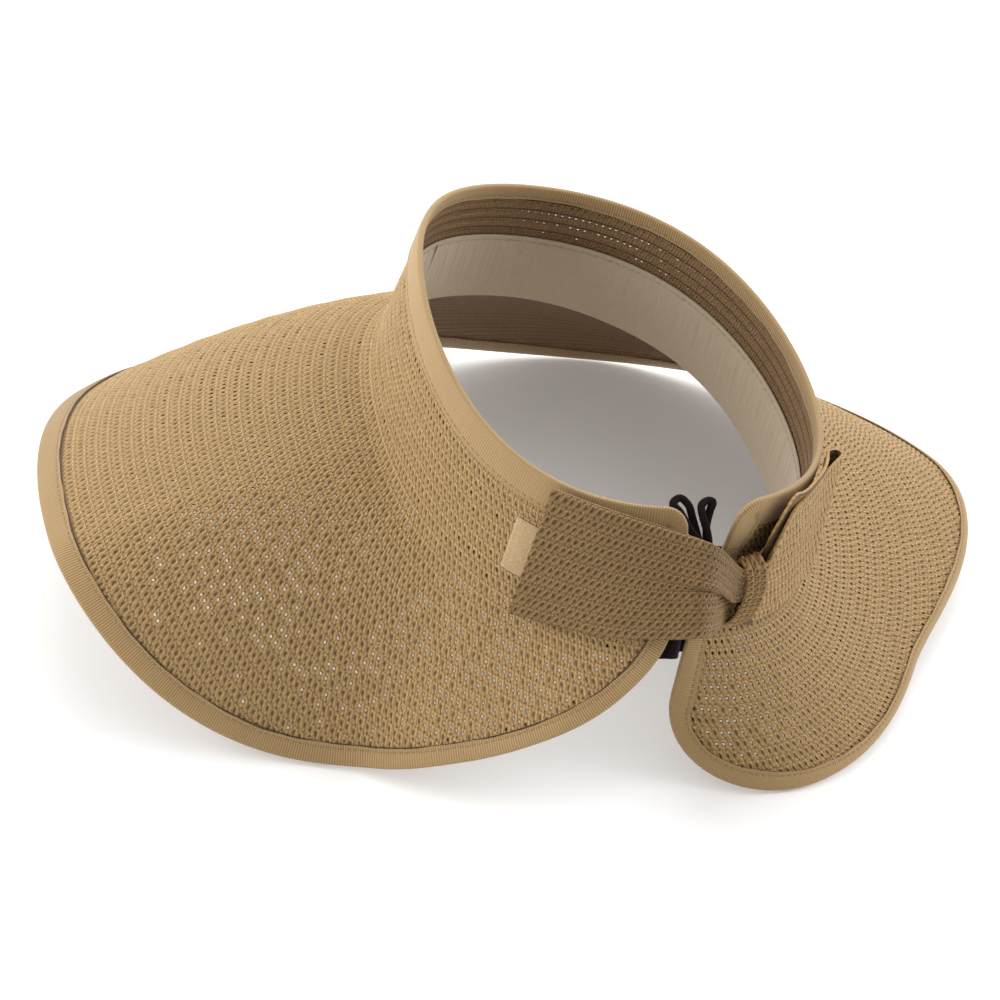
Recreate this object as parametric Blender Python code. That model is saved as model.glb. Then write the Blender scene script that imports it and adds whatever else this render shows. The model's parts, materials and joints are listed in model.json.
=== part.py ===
"""Roll-up sun visor of sewn paper braid: an open crown and a wide brim in one sheet, bound with
ribbon, closed at the back by a bow whose long wing is a hook-and-loop tab. Lengths are in
millimetres here and become metres when a mesh is made. +Z is up, the brim's front faces -Y."""

import math

import bmesh
import bpy
import numpy as np

MM = 0.001

# The head opening at the crown's top edge, and how that edge waves up and down around the head.
HEAD_HALF_WIDTH = 78.0
HEAD_HALF_LENGTH = 100.0
EGG_SHAPE = 0.01
CROWN_WAVE_FRONT = 11.4
CROWN_WAVE_SADDLE = 0.7
CROWN_WAVE_THIRD = -4.1
CROWN_WAVE_TWIST = 2.5

# The sheet runs round the head from its right end to its left end, in degrees from the front.
RIGHT_END = -176.0
LEFT_END = 166.5
ARC_RADIUS = 85.5  # turns degrees near the ends into millimetres of sheet

# Stations round the head: (degrees, value).
SHEET_HEIGHT = [
    (RIGHT_END, 132.5), (-150, 136.7), (-120, 140.9), (-80, 189.6), (-40, 189.5), (0, 162.7),
    (40, 189.5), (80, 189.6), (120, 140.0), (150, 98.5), (LEFT_END, 85.4),
]
CROWN_FLARE = [(RIGHT_END, -6.6), (-130, 1.0), (-80, 5.8), (0, 7.2), (80, 5.8), (130, 5.3), (LEFT_END, 26.2)]
BRIM_DROOP = [
    (RIGHT_END, 86.4), (-150, 57.3), (-120, 39.5), (-80, 17.6), (-40, 24.0), (0, 31.4),
    (40, 24.0), (80, 17.6), (120, 65.8), (150, 63.9), (LEFT_END, 79.8),
]
BRIM_CURL = [
    (RIGHT_END, -2.4), (-120, -7.8), (-60, 11.7), (0, 31.8), (60, 11.7), (120, 3.6), (LEFT_END, -4.0),
]
BEND_START = 47.0  # down the sheet from the crown's top edge, where crown turns into brim
BEND_END = 63.5
BEND_LIMIT = 0.62  # share of the sheet's height the crown rows never pass
LEFT_CORNER = 45.0
RIGHT_CORNER = 38.0
TOP_CORNER = 9.0

# Materials' thicknesses and the air between sewn layers.
STRAW = 1.8
RIBBON = 0.5
RIBBON_AIR = 0.85
RIBBON_LIP = -0.4  # past the straw's edge, where the fold starts
CROWN_BINDING_OUTSIDE = [(0, 6.0), (14, 7.5), (40, 12.0)]  # (distance along it from either end, reach)
CROWN_BINDING_INSIDE = 7.0
CROWN_BINDING_END = 22.0  # down the sheet's ends to where the two bindings meet
BRIM_BINDING_OUTSIDE = [
    (RIGHT_END, 6.5), (-160, 6.5), (-135, 3.2), (-70, 3.2), (-40, 8.0), (0, 8.5), (70, 8.5),
    (100, 8.0), (140, 6.0), (LEFT_END, 5.5),
]
BRIM_BINDING_INSIDE = 9.0
BINDING_JOINT_GAP = 0.9

SWEATBAND_TOP = 24.0
SWEATBAND_WIDTH = 31.0
SWEATBAND = 0.8
SWEATBAND_ENDS = (-156.0, 147.0)
SWEATBAND_LEAN = 3.0

ELASTIC_WIDTH = 25.0
ELASTIC = 1.2
ELASTIC_ENDS = (-161.0, 151.0)
ELASTIC_REACH = 3.0
ELASTIC_TOP_LEFT = 34.0
ELASTIC_TOP_RIGHT = 52.0
TIE_DIAMETER = 2.0
TIE_OFF = -4.2
TIE_KNOT_HALF = (2.6, 2.0, 2.2)
TIE_STRAND_GAP = 4.0
TIE_SEWN_LEFT = (158.0, 20.0)  # (degrees, down the sheet) where each strand is sewn on
TIE_SEWN_RIGHT = (-169.0, 30.0)
TIE_LEAVES_LEFT = 18.0  # down the sheet where each strand passes the end
TIE_LEAVES_RIGHT = 27.0
TIE_FRAME_DOWN = (5.0, 9.0)  # down the left and right ends, the two points the tie's frame lies between
TIE_INSET = 0.5  # degrees in from each end to those points
# The tie, in millimetres (across to the right, back, up) from halfway between its two exits.
TIE_KNOT_AT = (0.5, 3.0, -13.5)
TIE_LOOP_LEFT = [
    (-0.7, 3.4, -9.9), (-5.0, -0.4, -6.5), (-8.8, -6.6, -1.0), (-11.0, -9.6, 0.8), (-7.6, -10.4, 2.6),
    (-4.6, -7.6, 0.6), (-3.4, -4.6, -3.2), (-1.1, 0.6, -10.3),
]
TIE_LOOP_RIGHT = [
    (1.7, 3.4, -9.9), (0.6, 1.4, -5.5), (-0.6, -1.8, -1.5), (-0.8, -4.8, 1.8), (1.4, -5.4, 3.6),
    (3.6, -4.2, 3.8), (2.9, -3.4, 0.2), (2.0, -1.6, -5.0), (2.3, 0.6, -10.1),
]
TIE_LOOP_POINTS, TIE_STRAND_POINTS = 16, 7
TIE_TAIL = [(1.3, 0.0, -3.4), (2.8, -0.5, -8.0), (3.6, -1.0, -12.0)]  # from the knot, mirrored for the left

# The bow: each station is (degrees, top edge, bottom edge, height above the sheet, half thickness).
KNOT_AT = -170.0
KNOT_TOP = 20.5
KNOT_BOTTOM = 56.0
KNOT_OFF = 9.0
KNOT_TILT = 16.0
KNOT_LENGTH = 9.0
KNOT_WALL = 2.2
NECK_THICK = 6.4
MOUTH_GAP = 0.6
BAND_RINGS = 8
TAB_STATIONS = [
    (171.0, 12.0, 46.0, 9.6, 3.2), (164.0, 7.5, 48.5, 8.6, 3.0), (154.0, 3.0, 50.5, 7.5, 2.5),
    (144.0, 0.3, 52.5, 6.9, 1.9), (133.0, -0.3, 57.0, 6.5, 1.6),
]
LOOP_STATIONS = [
    (-163.0, 4.0, 60.0, 6.4, 3.4), (-155.0, 1.5, 62.0, 5.4, 2.6), (-147.0, 1.0, 63.0, 4.9, 2.1),
    (-138.0, 0.0, 62.0, 4.9, 2.1), (-130.0, -0.5, 61.0, 5.5, 2.6),
]
# Just past each mouth the band widens: (millimetres from the mouth, towards the head, growth).
TAB_FLARE = (4.0, 0.0, 1.08)
LOOP_FLARE = (3.0, 0.3, 1.15)
TACK_AT = -168.4
TACK_HALF_WIDTH = 1.0
TACK_HALF_HEIGHT = 5.0
SEWN_GAP = 0.4  # air at each end of the tack and inside the knot's right mouth
SQUARENESS = 0.8  # 1 is an ellipse, less is squarer

HOOK_SIZE = (20.0, 22.0)
HOOK_AT = (139.5, 31.0)
HOOK_OFF = 3.55
PATCH_SPAN = (125.5, 150.0)
PATCH_HEIGHT = (20.5, 43.0)
TAPE = 0.7

# How the visor stands: on the brim's right back, its right front and its left side.
STANCE_PITCH = -0.8
STANCE_ROLL = -6.26


# ---------------------------------------------------------------- shape of the sheet

def through_stations(stations, angle):
    """A smooth curve through the stations that never overshoots them (monotone cubic)."""
    x = np.array([s[0] for s in stations], float)
    y = np.array([s[1] for s in stations], float)
    step = np.diff(x)
    rise = np.diff(y) / step
    slope = np.zeros(len(x))
    same_way = rise[1:] * rise[:-1] > 0
    near, far = 2 * step[1:] + step[:-1], step[1:] + 2 * step[:-1]
    safe = np.where(same_way, rise[1:] * rise[:-1], 1.0)
    slope[1:-1] = np.where(same_way, (near + far) * safe / (near * rise[1:] + far * rise[:-1] + 1e-12), 0)
    slope[0], slope[-1] = rise[0], rise[-1]
    a = np.clip(angle, x[0], x[-1])
    i = np.clip(np.searchsorted(x, a) - 1, 0, len(x) - 2)
    u = (a - x[i]) / step[i]
    return (
        y[i] * (1 + 2 * u) * (1 - u) ** 2
        + slope[i] * step[i] * u * (1 - u) ** 2
        + y[i + 1] * u * u * (3 - 2 * u)
        + slope[i + 1] * step[i] * u * u * (u - 1)
    )


def crown_edge(angle):
    """The crown's top edge and the level direction away from the head there."""
    a = np.radians(angle)
    egg = 1 + EGG_SHAPE * np.cos(3 * a)
    wave = CROWN_WAVE_FRONT * np.cos(a) + CROWN_WAVE_SADDLE * np.cos(2 * a)
    wave = wave + CROWN_WAVE_THIRD * np.cos(3 * a) + CROWN_WAVE_TWIST * np.sin(2 * a)
    edge = np.stack([HEAD_HALF_WIDTH * np.sin(a) * egg, -HEAD_HALF_LENGTH * np.cos(a) * egg, wave], -1)
    out = np.stack([np.sin(a) / HEAD_HALF_WIDTH, -np.cos(a) / HEAD_HALF_LENGTH, 0 * a], -1)
    return edge, out / np.linalg.norm(out, axis=-1, keepdims=True)


def middle(angle, down, straight=False):
    """Points on the sheet's middle, down millimetres along it from the crown's top edge."""
    angle, down = np.broadcast_arrays(np.asarray(angle, float), np.asarray(down, float))
    edge, out = crown_edge(angle)
    flare = np.radians(through_stations(CROWN_FLARE, angle))[..., None]
    level = np.radians(90 - through_stations(BRIM_DROOP, angle))[..., None]
    curl = np.radians(through_stations(BRIM_CURL, angle))[..., None] / 100
    steps = 40
    s = down[..., None] * (np.arange(steps) + 0.5) / steps
    x = np.clip((s - BEND_START) / (BEND_END - BEND_START), 0, 1)
    lean = flare + (level - flare) * x * x * (3 - 2 * x) - curl * np.maximum(s - BEND_END, 0)
    if straight:
        lean = flare + 0 * s
    away = np.sin(lean).mean(-1) * down
    fall = np.cos(lean).mean(-1) * down
    return edge + out * away[..., None] - np.stack([0 * fall, 0 * fall, fall], -1)


def on_sheet(angle, down, off=0.0):
    """Points off millimetres outside the sheet's middle."""
    angle, down, off = np.broadcast_arrays(*(np.asarray(v, float) for v in (angle, down, off)))
    along = middle(angle + 0.2, down) - middle(angle - 0.2, down)
    fall = middle(angle, down + 0.4) - middle(angle, down - 0.4)
    normal = np.cross(fall, along)
    normal /= np.linalg.norm(normal, axis=-1, keepdims=True)
    return middle(angle, down) + normal * off[..., None]


def corner_cut(distance, radius):
    """How much of the sheet's height a rounded corner takes away at this distance from an end."""
    d = np.clip(distance, 0, radius)
    return radius - np.sqrt(radius**2 - (radius - d) ** 2)


def end_distance(angle):
    end = np.where(angle >= 0, LEFT_END, -RIGHT_END)
    return np.radians(end - np.abs(angle)) * ARC_RADIUS


def top_edge(angle):
    return corner_cut(end_distance(angle), TOP_CORNER)


def brim_edge(angle):
    radius = np.where(angle >= 0, LEFT_CORNER, RIGHT_CORNER)
    return through_stations(SHEET_HEIGHT, angle) - corner_cut(end_distance(angle), radius)


def columns():
    """Angles round the head, close together at the rounded ends."""
    near = np.degrees(1 / ARC_RADIUS) * LEFT_CORNER
    ends = near * (1 - np.cos(np.linspace(0, math.pi / 2, 9)))
    right = RIGHT_END + ends
    left = LEFT_END - ends[::-1]
    between = np.linspace(right[-1], left[0], 51)
    return np.concatenate([right[:-1], between, left[1:]])


# ---------------------------------------------------------------- making objects

def material(name, color, roughness):
    made = bpy.data.materials.new(name)
    made.use_nodes = True
    shader = made.node_tree.nodes["Principled BSDF"]
    shader.inputs["Base Color"].default_value = (*color, 1)
    shader.inputs["Roughness"].default_value = roughness
    shader.inputs["Metallic"].default_value = 0
    return made


def add_object(name, data, finish, parent, origin=(0, 0, 0)):
    made = bpy.data.objects.new(name, data)
    bpy.context.scene.collection.objects.link(made)
    data.materials.append(finish)
    made.parent = parent
    made.location = [c * MM for c in origin]
    return made


def sheet(name, points, thickness, finish, parent, origin=(0, 0, 0)):
    """A strip of cloth: a grid of quads given its thickness by Solidify."""
    rows, cols = points.shape[:2]
    mesh = bpy.data.meshes.new(name)
    cells = [
        (i * cols + j, i * cols + j + 1, (i + 1) * cols + j + 1, (i + 1) * cols + j)
        for i in range(rows - 1)
        for j in range(cols - 1)
    ]
    mesh.from_pydata(((points - np.array(origin)) * MM).reshape(-1, 3).tolist(), [], cells)
    mesh.shade_smooth()
    made = add_object(name, mesh, finish, parent, origin)
    solid = made.modifiers.new("Thickness", "SOLIDIFY")
    solid.thickness = thickness * MM
    solid.offset = 0
    return made


def loft(name, rings, finish, parent, origin=(0, 0, 0)):
    """A closed body through rings of points, with both ends capped."""
    rings = (np.asarray(rings) - np.array(origin)) * MM
    build = bmesh.new()
    loops = [[build.verts.new(p) for p in ring] for ring in rings]
    for one, two in zip(loops, loops[1:]):
        for i in range(len(one)):
            j = (i + 1) % len(one)
            build.faces.new((one[i], one[j], two[j], two[i]))
    build.faces.new(loops[0][::-1])
    build.faces.new(loops[-1])
    bmesh.ops.triangulate(build, faces=[f for f in build.faces if len(f.verts) > 4])
    bmesh.ops.recalc_face_normals(build, faces=build.faces)
    mesh = bpy.data.meshes.new(name)
    build.to_mesh(mesh)
    build.free()
    mesh.shade_smooth()
    mesh.set_sharp_from_angle(angle=math.radians(50))
    return add_object(name, mesh, finish, parent, origin)


def tube(name, points, diameter, finish, parent):
    """A cord: a polyline with a round bevel and filled caps."""
    curve = bpy.data.curves.new(name, "CURVE")
    curve.dimensions = "3D"
    curve.bevel_depth = diameter / 2 * MM
    curve.bevel_resolution = 2
    curve.use_fill_caps = True
    line = curve.splines.new("POLY")
    line.points.add(len(points) - 1)
    for place, point in zip(line.points, points):
        place.co = (*(point * MM), 1)
    return add_object(name, curve, finish, parent)


def smooth_path(knots, count):
    """Evenly spread points on a Catmull-Rom curve through the knots."""
    k = np.asarray(knots, float)
    k = np.vstack([2 * k[0] - k[1], k, 2 * k[-1] - k[-2]])
    dense = []
    for a, b, c, d in zip(k, k[1:], k[2:], k[3:]):
        for u in np.linspace(0, 1, 24, endpoint=False):
            dense.append(
                0.5 * (2 * b + (c - a) * u + (2 * a - 5 * b + 4 * c - d) * u**2
                       + (3 * b - a - 3 * c + d) * u**3)
            )
    dense = np.array(dense + [k[-2]])
    run = np.concatenate([[0], np.cumsum(np.linalg.norm(np.diff(dense, axis=0), axis=1))])
    want = np.linspace(0, run[-1], count)
    return np.stack([np.interp(want, run, dense[:, i]) for i in range(dense.shape[1])], -1)


# ---------------------------------------------------------------- straw body and bindings

def straw_body(parent):
    """Crown and brim: one sheet of sewn braid, closer rows where the crown bends into the brim."""
    angle = columns()
    top, bottom = top_edge(angle), brim_edge(angle)
    bend = np.minimum(BEND_END, BEND_LIMIT * bottom)
    crown_part = np.linspace(0, 1, 7)[:, None]
    brim_part = np.linspace(0, 1, 7)[1:, None]
    down = np.vstack([top + (bend - top) * crown_part, bend + (bottom - bend) * brim_part])
    points = on_sheet(np.broadcast_to(angle, down.shape), down)
    sheet("straw_body", points, STRAW, material("straw", (0.45, 0.30, 0.15), 0.75), parent)


def ribbon_stops(angle, down, trim):
    """The route's own stops less trim millimetres at each end, with how far along each one is."""
    edge = middle(angle, down)
    run = np.concatenate([[0], np.cumsum(np.linalg.norm(np.diff(edge, axis=0), axis=1))])
    keep = (run > trim) & (run < run[-1] - trim)
    stops = np.concatenate([[trim], run[keep], [run[-1] - trim]])
    return np.interp(stops, run, angle), np.interp(stops, run, down), stops


def inward_step(angle, down):
    """The change of (angle, down) that moves one millimetre in from the edge, square to it."""
    per_degree = (middle(angle + 0.2, down) - middle(angle - 0.2, down)) / 0.4
    per_mm = (middle(angle, down + 0.4) - middle(angle, down - 0.4)) / 0.8
    tangent = np.gradient(middle(angle, down), axis=0)
    inward = np.cross(tangent, np.cross(per_mm, per_degree))
    inward /= np.linalg.norm(inward, axis=1, keepdims=True)
    gram = np.stack(
        [np.stack([(per_degree**2).sum(1), (per_degree * per_mm).sum(1)], -1),
         np.stack([(per_degree * per_mm).sum(1), (per_mm**2).sum(1)], -1)], -1)
    wanted = np.stack([(per_degree * inward).sum(1), (per_mm * inward).sum(1)], -1)
    return np.linalg.solve(gram, wanted[..., None])[..., 0]


def folded_ribbon(angle, down, outside, inside):
    """A ribbon folded over the edge at (angle, down), as rows of points across the fold.

    outside is its reach in from the edge on the outer face, at each stop, and inside on the inner.
    """
    step = inward_step(angle, down)
    out = STRAW / 2 + RIBBON_AIR + RIBBON / 2
    section = [
        (outside, out), (outside * 0.45, out), (RIBBON_LIP, out), (-out, 0),
        (RIBBON_LIP, -out), (inside * 0.5, -out), (inside, -out),
    ]
    return np.stack([on_sheet(angle + step[:, 0] * d, down + step[:, 1] * d, off) for d, off in section], 1)


def crown_route():
    """Up the right end, along the sheet's top edge and down the left end."""
    angle = columns()
    up = np.linspace(CROWN_BINDING_END, TOP_CORNER, 4)[:-1]
    around = np.concatenate([np.full(len(up), RIGHT_END), angle, np.full(len(up), LEFT_END)])
    return around, np.concatenate([up, top_edge(angle), up[::-1]])


def brim_route():
    """Down the left end, along the brim and up the right end."""
    angle = columns()[::-1]
    bottom = brim_edge(angle)
    left = np.linspace(CROWN_BINDING_END, bottom[0], 5)[:-1]
    right = np.linspace(bottom[-1], CROWN_BINDING_END, 9)[1:]
    around = np.concatenate([np.full(len(left), LEFT_END), angle, np.full(len(right), RIGHT_END)])
    return around, np.concatenate([left, bottom, right])


def bindings(parent):
    """Grosgrain ribbon folded over every edge: one along the crown, one round the ends and brim."""
    finish = material("grosgrain_ribbon", (0.42, 0.29, 0.15), 0.7)
    angle, down, run = ribbon_stops(*crown_route(), BINDING_JOINT_GAP)
    from_end = np.minimum(run, run[-1] - run)
    reach = through_stations(CROWN_BINDING_OUTSIDE, np.minimum(from_end, CROWN_BINDING_OUTSIDE[-1][0]))
    sheet("crown_binding", folded_ribbon(angle, down, reach, CROWN_BINDING_INSIDE), RIBBON, finish, parent)
    angle, down, _ = ribbon_stops(*brim_route(), BINDING_JOINT_GAP)
    reach = through_stations(BRIM_BINDING_OUTSIDE, angle)
    brim = folded_ribbon(angle, down, reach, BRIM_BINDING_INSIDE)
    sheet("brim_binding", brim, RIBBON, finish.copy(), parent)


def sweatband(parent):
    """A cloth strip sewn along its top edge inside the crown, its lower edge hanging free."""
    angle = np.linspace(*SWEATBAND_ENDS, 54)
    off = STRAW / 2 + RIBBON_AIR + SWEATBAND / 2
    top = on_sheet(angle, np.full(len(angle), SWEATBAND_TOP), -off)
    fall = middle(angle, SWEATBAND_TOP + SWEATBAND_WIDTH, True) - middle(angle, SWEATBAND_TOP, True)
    _, out = crown_edge(angle)
    lean = math.tan(math.radians(SWEATBAND_LEAN)) * SWEATBAND_WIDTH
    rows = [top + fall * u - out * lean * u for u in (0, 0.33, 0.67, 1)]
    sheet("sweatband", np.stack(rows), SWEATBAND, material("sweatband_cloth", (0.33, 0.27, 0.19), 0.9), parent)


# ---------------------------------------------------------------- elastics

def elastic_band(parent):
    """Wide elastic inside the back, sewn to both ends and stretched across the gap."""
    off = -(STRAW / 2 + RIBBON + 2 * RIBBON_AIR + ELASTIC / 2)
    left = np.linspace(ELASTIC_ENDS[1], LEFT_END + ELASTIC_REACH, 6)
    right = np.linspace(RIGHT_END - ELASTIC_REACH, ELASTIC_ENDS[0], 6)
    rows = []
    for share in np.linspace(0, 1, 4):
        down_left = ELASTIC_TOP_LEFT + ELASTIC_WIDTH * share
        down_right = ELASTIC_TOP_RIGHT + ELASTIC_WIDTH * share
        rows.append(np.vstack([on_sheet(left, down_left, off), on_sheet(right, down_right, off)]))
    black = material("black_elastic", (0.012, 0.009, 0.014), 0.8)
    sheet("elastic_band", np.stack(rows), ELASTIC, black, parent)


def tie_frame():
    """Where the tie leaves the two ends, halfway between them, and its across, back and up directions."""
    left_out = on_sheet(LEFT_END - TIE_INSET, TIE_FRAME_DOWN[0], TIE_OFF)
    right_out = on_sheet(RIGHT_END + TIE_INSET, TIE_FRAME_DOWN[1], TIE_OFF)
    across = (right_out - left_out) / np.linalg.norm(right_out - left_out)
    return 0.5 * (left_out + right_out), np.array([across, (0, 1, 0), (0, 0, 1)], float)


def tie_knot(centre, axes, black, parent):
    ring = [(math.cos(a), math.sin(a)) for a in np.linspace(0, 2 * math.pi, 9)[:-1]]
    rings = [
        [centre + (np.array([w, r * c, r * s]) * TIE_KNOT_HALF) @ axes for c, s in ring]
        for w, r in ((-1, 0.6), (-0.6, 1), (0.6, 1), (1, 0.6))
    ]
    loft("tie_knot", rings, black, parent)


def tie_elastic(parent):
    """Narrow elastic from inside each end, tied behind the tab in a small bow whose loops stand up."""
    black = material("black_tie", (0.010, 0.008, 0.012), 0.7)
    middle_point, axes = tie_frame()
    centre = middle_point + np.array(TIE_KNOT_AT) @ axes
    tie_knot(centre, axes, black, parent)
    routes = {
        "tie_strand_left": [
            on_sheet(*TIE_SEWN_LEFT, TIE_OFF),
            on_sheet(LEFT_END - 1, TIE_LEAVES_LEFT, TIE_OFF),
            centre - axes[0] * TIE_STRAND_GAP,
        ],
        "tie_strand_right": [
            on_sheet(*TIE_SEWN_RIGHT, TIE_OFF),
            on_sheet(RIGHT_END - 1, TIE_LEAVES_RIGHT, TIE_OFF),
            centre + axes[0] * TIE_STRAND_GAP,
        ],
        "tie_loop_left": middle_point + np.array(TIE_LOOP_LEFT) @ axes,
        "tie_loop_right": middle_point + np.array(TIE_LOOP_RIGHT) @ axes,
        "tie_tail_left": centre + (np.array(TIE_TAIL) * (-1, 1, 1)) @ axes,
        "tie_tail_right": centre + np.array(TIE_TAIL) @ axes,
    }
    for name, route in routes.items():
        count = TIE_LOOP_POINTS if "loop" in name else TIE_STRAND_POINTS
        tube(name, smooth_path(route, count), TIE_DIAMETER, black.copy(), parent)


# ---------------------------------------------------------------- bow

def knot_frame():
    """The knot's centre with the band's direction to the left, down along the sheet, and outward."""
    mid = (KNOT_TOP + KNOT_BOTTOM) / 2
    centre = on_sheet(KNOT_AT, mid, KNOT_OFF)
    down = on_sheet(KNOT_AT, KNOT_BOTTOM, KNOT_OFF) - on_sheet(KNOT_AT, KNOT_TOP, KNOT_OFF)
    half_height = np.linalg.norm(down) / 2
    down /= 2 * half_height
    left = on_sheet(KNOT_AT - 1, mid, KNOT_OFF) - on_sheet(KNOT_AT + 1, mid, KNOT_OFF)
    left -= down * (left @ down)
    left /= np.linalg.norm(left)
    tilt = math.radians(KNOT_TILT)
    left, down = left * math.cos(tilt) + down * math.sin(tilt), down * math.cos(tilt) - left * math.sin(tilt)
    out = np.cross(left, down)
    return centre, left, down, out, half_height


def oval(centre, down, out, half_height, half_thick, count=20):
    """A flattened ring of points, squarer than an ellipse."""
    ring = []
    for a in np.linspace(0, 2 * math.pi, count, endpoint=False):
        c, s = math.cos(a), math.sin(a)
        ring.append(
            centre + down * half_height * math.copysign(abs(c) ** SQUARENESS, c)
            + out * half_thick * math.copysign(abs(s) ** SQUARENESS, s)
        )
    return ring


def band_ring(station, count=20):
    """The band's section at a station of the sheet."""
    angle, top, bottom, off, half_thick = station
    high, low = on_sheet(angle, top, off), on_sheet(angle, bottom, off)
    down = low - high
    half_height = np.linalg.norm(down) / 2
    down /= 2 * half_height
    along = on_sheet(angle + 1, (top + bottom) / 2, off) - on_sheet(angle - 1, (top + bottom) / 2, off)
    out = np.cross(down, along)
    out /= np.linalg.norm(out)
    return oval((high + low) / 2, down, out, half_height, half_thick, count)


def bow_knot(parent):
    """The strip wrapped round the bow's waist: a hollow oval sleeve."""
    centre, left, down, out, half_height = knot_frame()
    inner_high, inner_thick = half_height - KNOT_WALL, NECK_THICK / 2 + MOUTH_GAP
    build = bmesh.new()
    loops = []
    for side, grow in ((-1, 0), (-1, KNOT_WALL), (1, KNOT_WALL), (1, 0)):
        at = centre + left * side * KNOT_LENGTH / 2
        ring = oval(at, down, out, inner_high + MOUTH_GAP + grow, inner_thick + grow)
        loops.append([build.verts.new(p * MM) for p in ring])
    for one, two in zip(loops, loops[1:] + loops[:1]):
        for i in range(len(one)):
            j = (i + 1) % len(one)
            build.faces.new((one[i], one[j], two[j], two[i]))
    bmesh.ops.recalc_face_normals(build, faces=build.faces)
    mesh = bpy.data.meshes.new("bow_knot")
    build.to_mesh(mesh)
    build.free()
    mesh.shade_smooth()
    mesh.set_sharp_from_angle(angle=math.radians(40))
    add_object("bow_knot", mesh, material("straw_knot", (0.44, 0.30, 0.15), 0.75), parent)
    return centre, left, down, out, inner_high


def bow(parent, pivot):
    """The band through the knot: the fixed loop on the right and the tab that peels off on the left."""
    centre, left, down, out, neck_high = bow_knot(parent)
    neck = NECK_THICK / 2
    mouth = KNOT_LENGTH / 2
    rings = [oval(centre + left * w, down, out, neck_high, neck) for w in (mouth - SEWN_GAP, 0, -mouth)]
    along, sink, grow = LOOP_FLARE
    rings.append(oval(centre - left * (mouth + along) - out * sink, down, out, neck_high * grow, neck))
    rings += [band_ring(s) for s in smooth_path(LOOP_STATIONS, BAND_RINGS)]
    loft("bow_loop", rings, material("straw_loop", (0.45, 0.31, 0.16), 0.75), parent)
    root = centre + left * (mouth + MOUTH_GAP)
    along, sink, grow = TAB_FLARE
    rings = [
        oval(root, down, out, neck_high, neck),
        oval(root + left * along - out * sink, down, out, neck_high * grow, neck),
    ]
    rings += [band_ring(s) for s in smooth_path(TAB_STATIONS, BAND_RINGS)]
    hinge = hinge_place()
    loft("closure_tab", rings, material("straw_tab", (0.45, 0.31, 0.16), 0.75), pivot, hinge)


def hinge_place():
    """The tab bends away along the outer lip of the knot's left mouth."""
    centre, left, _, out, _ = knot_frame()
    return centre + left * (KNOT_LENGTH / 2 + MOUTH_GAP) + out * NECK_THICK / 2


def hook_patch(pivot):
    """The hook tape under the tab's free end, a stiff flat plate."""
    angle, down_at = HOOK_AT
    off = HOOK_OFF
    centre = on_sheet(angle, down_at, off)
    along = on_sheet(angle + 4, down_at, off) - on_sheet(angle - 4, down_at, off)
    along /= np.linalg.norm(along)
    fall = on_sheet(angle, down_at + 8, off) - on_sheet(angle, down_at - 8, off)
    fall -= along * (fall @ along)
    fall /= np.linalg.norm(fall)
    wide, high = HOOK_SIZE
    grid = [[centre + along * wide * u + fall * high * v for u in (-0.5, 0.5)] for v in (-0.5, 0.5)]
    finish = material("hook_tape", (0.40, 0.29, 0.17), 0.8)
    sheet("hook_patch", np.array(grid), TAPE, finish, pivot, hinge_place())


def loop_patch(parent):
    """The soft loop tape sewn to the left end under the tab."""
    angle = np.linspace(*PATCH_SPAN, 8)
    off = STRAW / 2 + RIBBON_AIR + TAPE / 2
    rows = [on_sheet(angle, d, off) for d in np.linspace(*PATCH_HEIGHT, 3)]
    sheet("loop_patch", np.stack(rows), TAPE, material("loop_tape", (0.52, 0.38, 0.23), 0.95), parent)


def bow_tack(parent):
    """Thread sewn through the knot's back into the crown, which holds the bow on."""
    mid = (KNOT_TOP + KNOT_BOTTOM) / 2
    back = NECK_THICK / 2 + MOUTH_GAP + KNOT_WALL
    low, high = STRAW / 2 + SEWN_GAP, KNOT_OFF - back - SEWN_GAP
    _, left, down, _, _ = knot_frame()
    rings = []
    for off in (low, high):
        at = on_sheet(TACK_AT, mid, off)
        corners = ((-1, -1), (1, -1), (1, 1), (-1, 1))
        rings.append([at + left * TACK_HALF_WIDTH * a + down * TACK_HALF_HEIGHT * b for a, b in corners])
    loft("bow_tack", rings, material("thread", (0.35, 0.24, 0.12), 0.8), parent)


# ---------------------------------------------------------------- assembly

def empty(name, parent=None, place=(0, 0, 0)):
    made = bpy.data.objects.new(name, None)
    bpy.context.scene.collection.objects.link(made)
    made.parent = parent
    made.location = [c * MM for c in place]
    return made


def stand_on_floor(stance):
    """Tilts the visor onto its brim, then puts its box's bottom centre at the origin."""
    stance.rotation_euler = (math.radians(STANCE_PITCH), math.radians(STANCE_ROLL), 0)
    bpy.context.view_layer.update()
    graph = bpy.context.evaluated_depsgraph_get()
    low, high = np.full(3, np.inf), np.full(3, -np.inf)
    for node in bpy.context.scene.objects:
        if node.type == "EMPTY":
            continue
        solid = node.evaluated_get(graph)
        mesh = solid.to_mesh()
        points = np.array([solid.matrix_world @ v.co for v in mesh.vertices])
        solid.to_mesh_clear()
        low, high = np.minimum(low, points.min(0)), np.maximum(high, points.max(0))
    stance.location = (-(low[0] + high[0]) / 2, -(low[1] + high[1]) / 2, -low[2])


def main():
    for old in list(bpy.data.objects):
        bpy.data.objects.remove(old)
    stance = empty("stance")
    pivot = empty("tab_pivot", stance)
    straw_body(stance)
    bindings(stance)
    sweatband(stance)
    elastic_band(stance)
    tie_elastic(stance)
    bow(stance, pivot)
    hook_patch(pivot)
    loop_patch(stance)
    bow_tack(stance)
    stand_on_floor(stance)


main()
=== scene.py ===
import json
import math

import bpy
import numpy as np
from mathutils import Euler, Matrix, Vector


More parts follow.
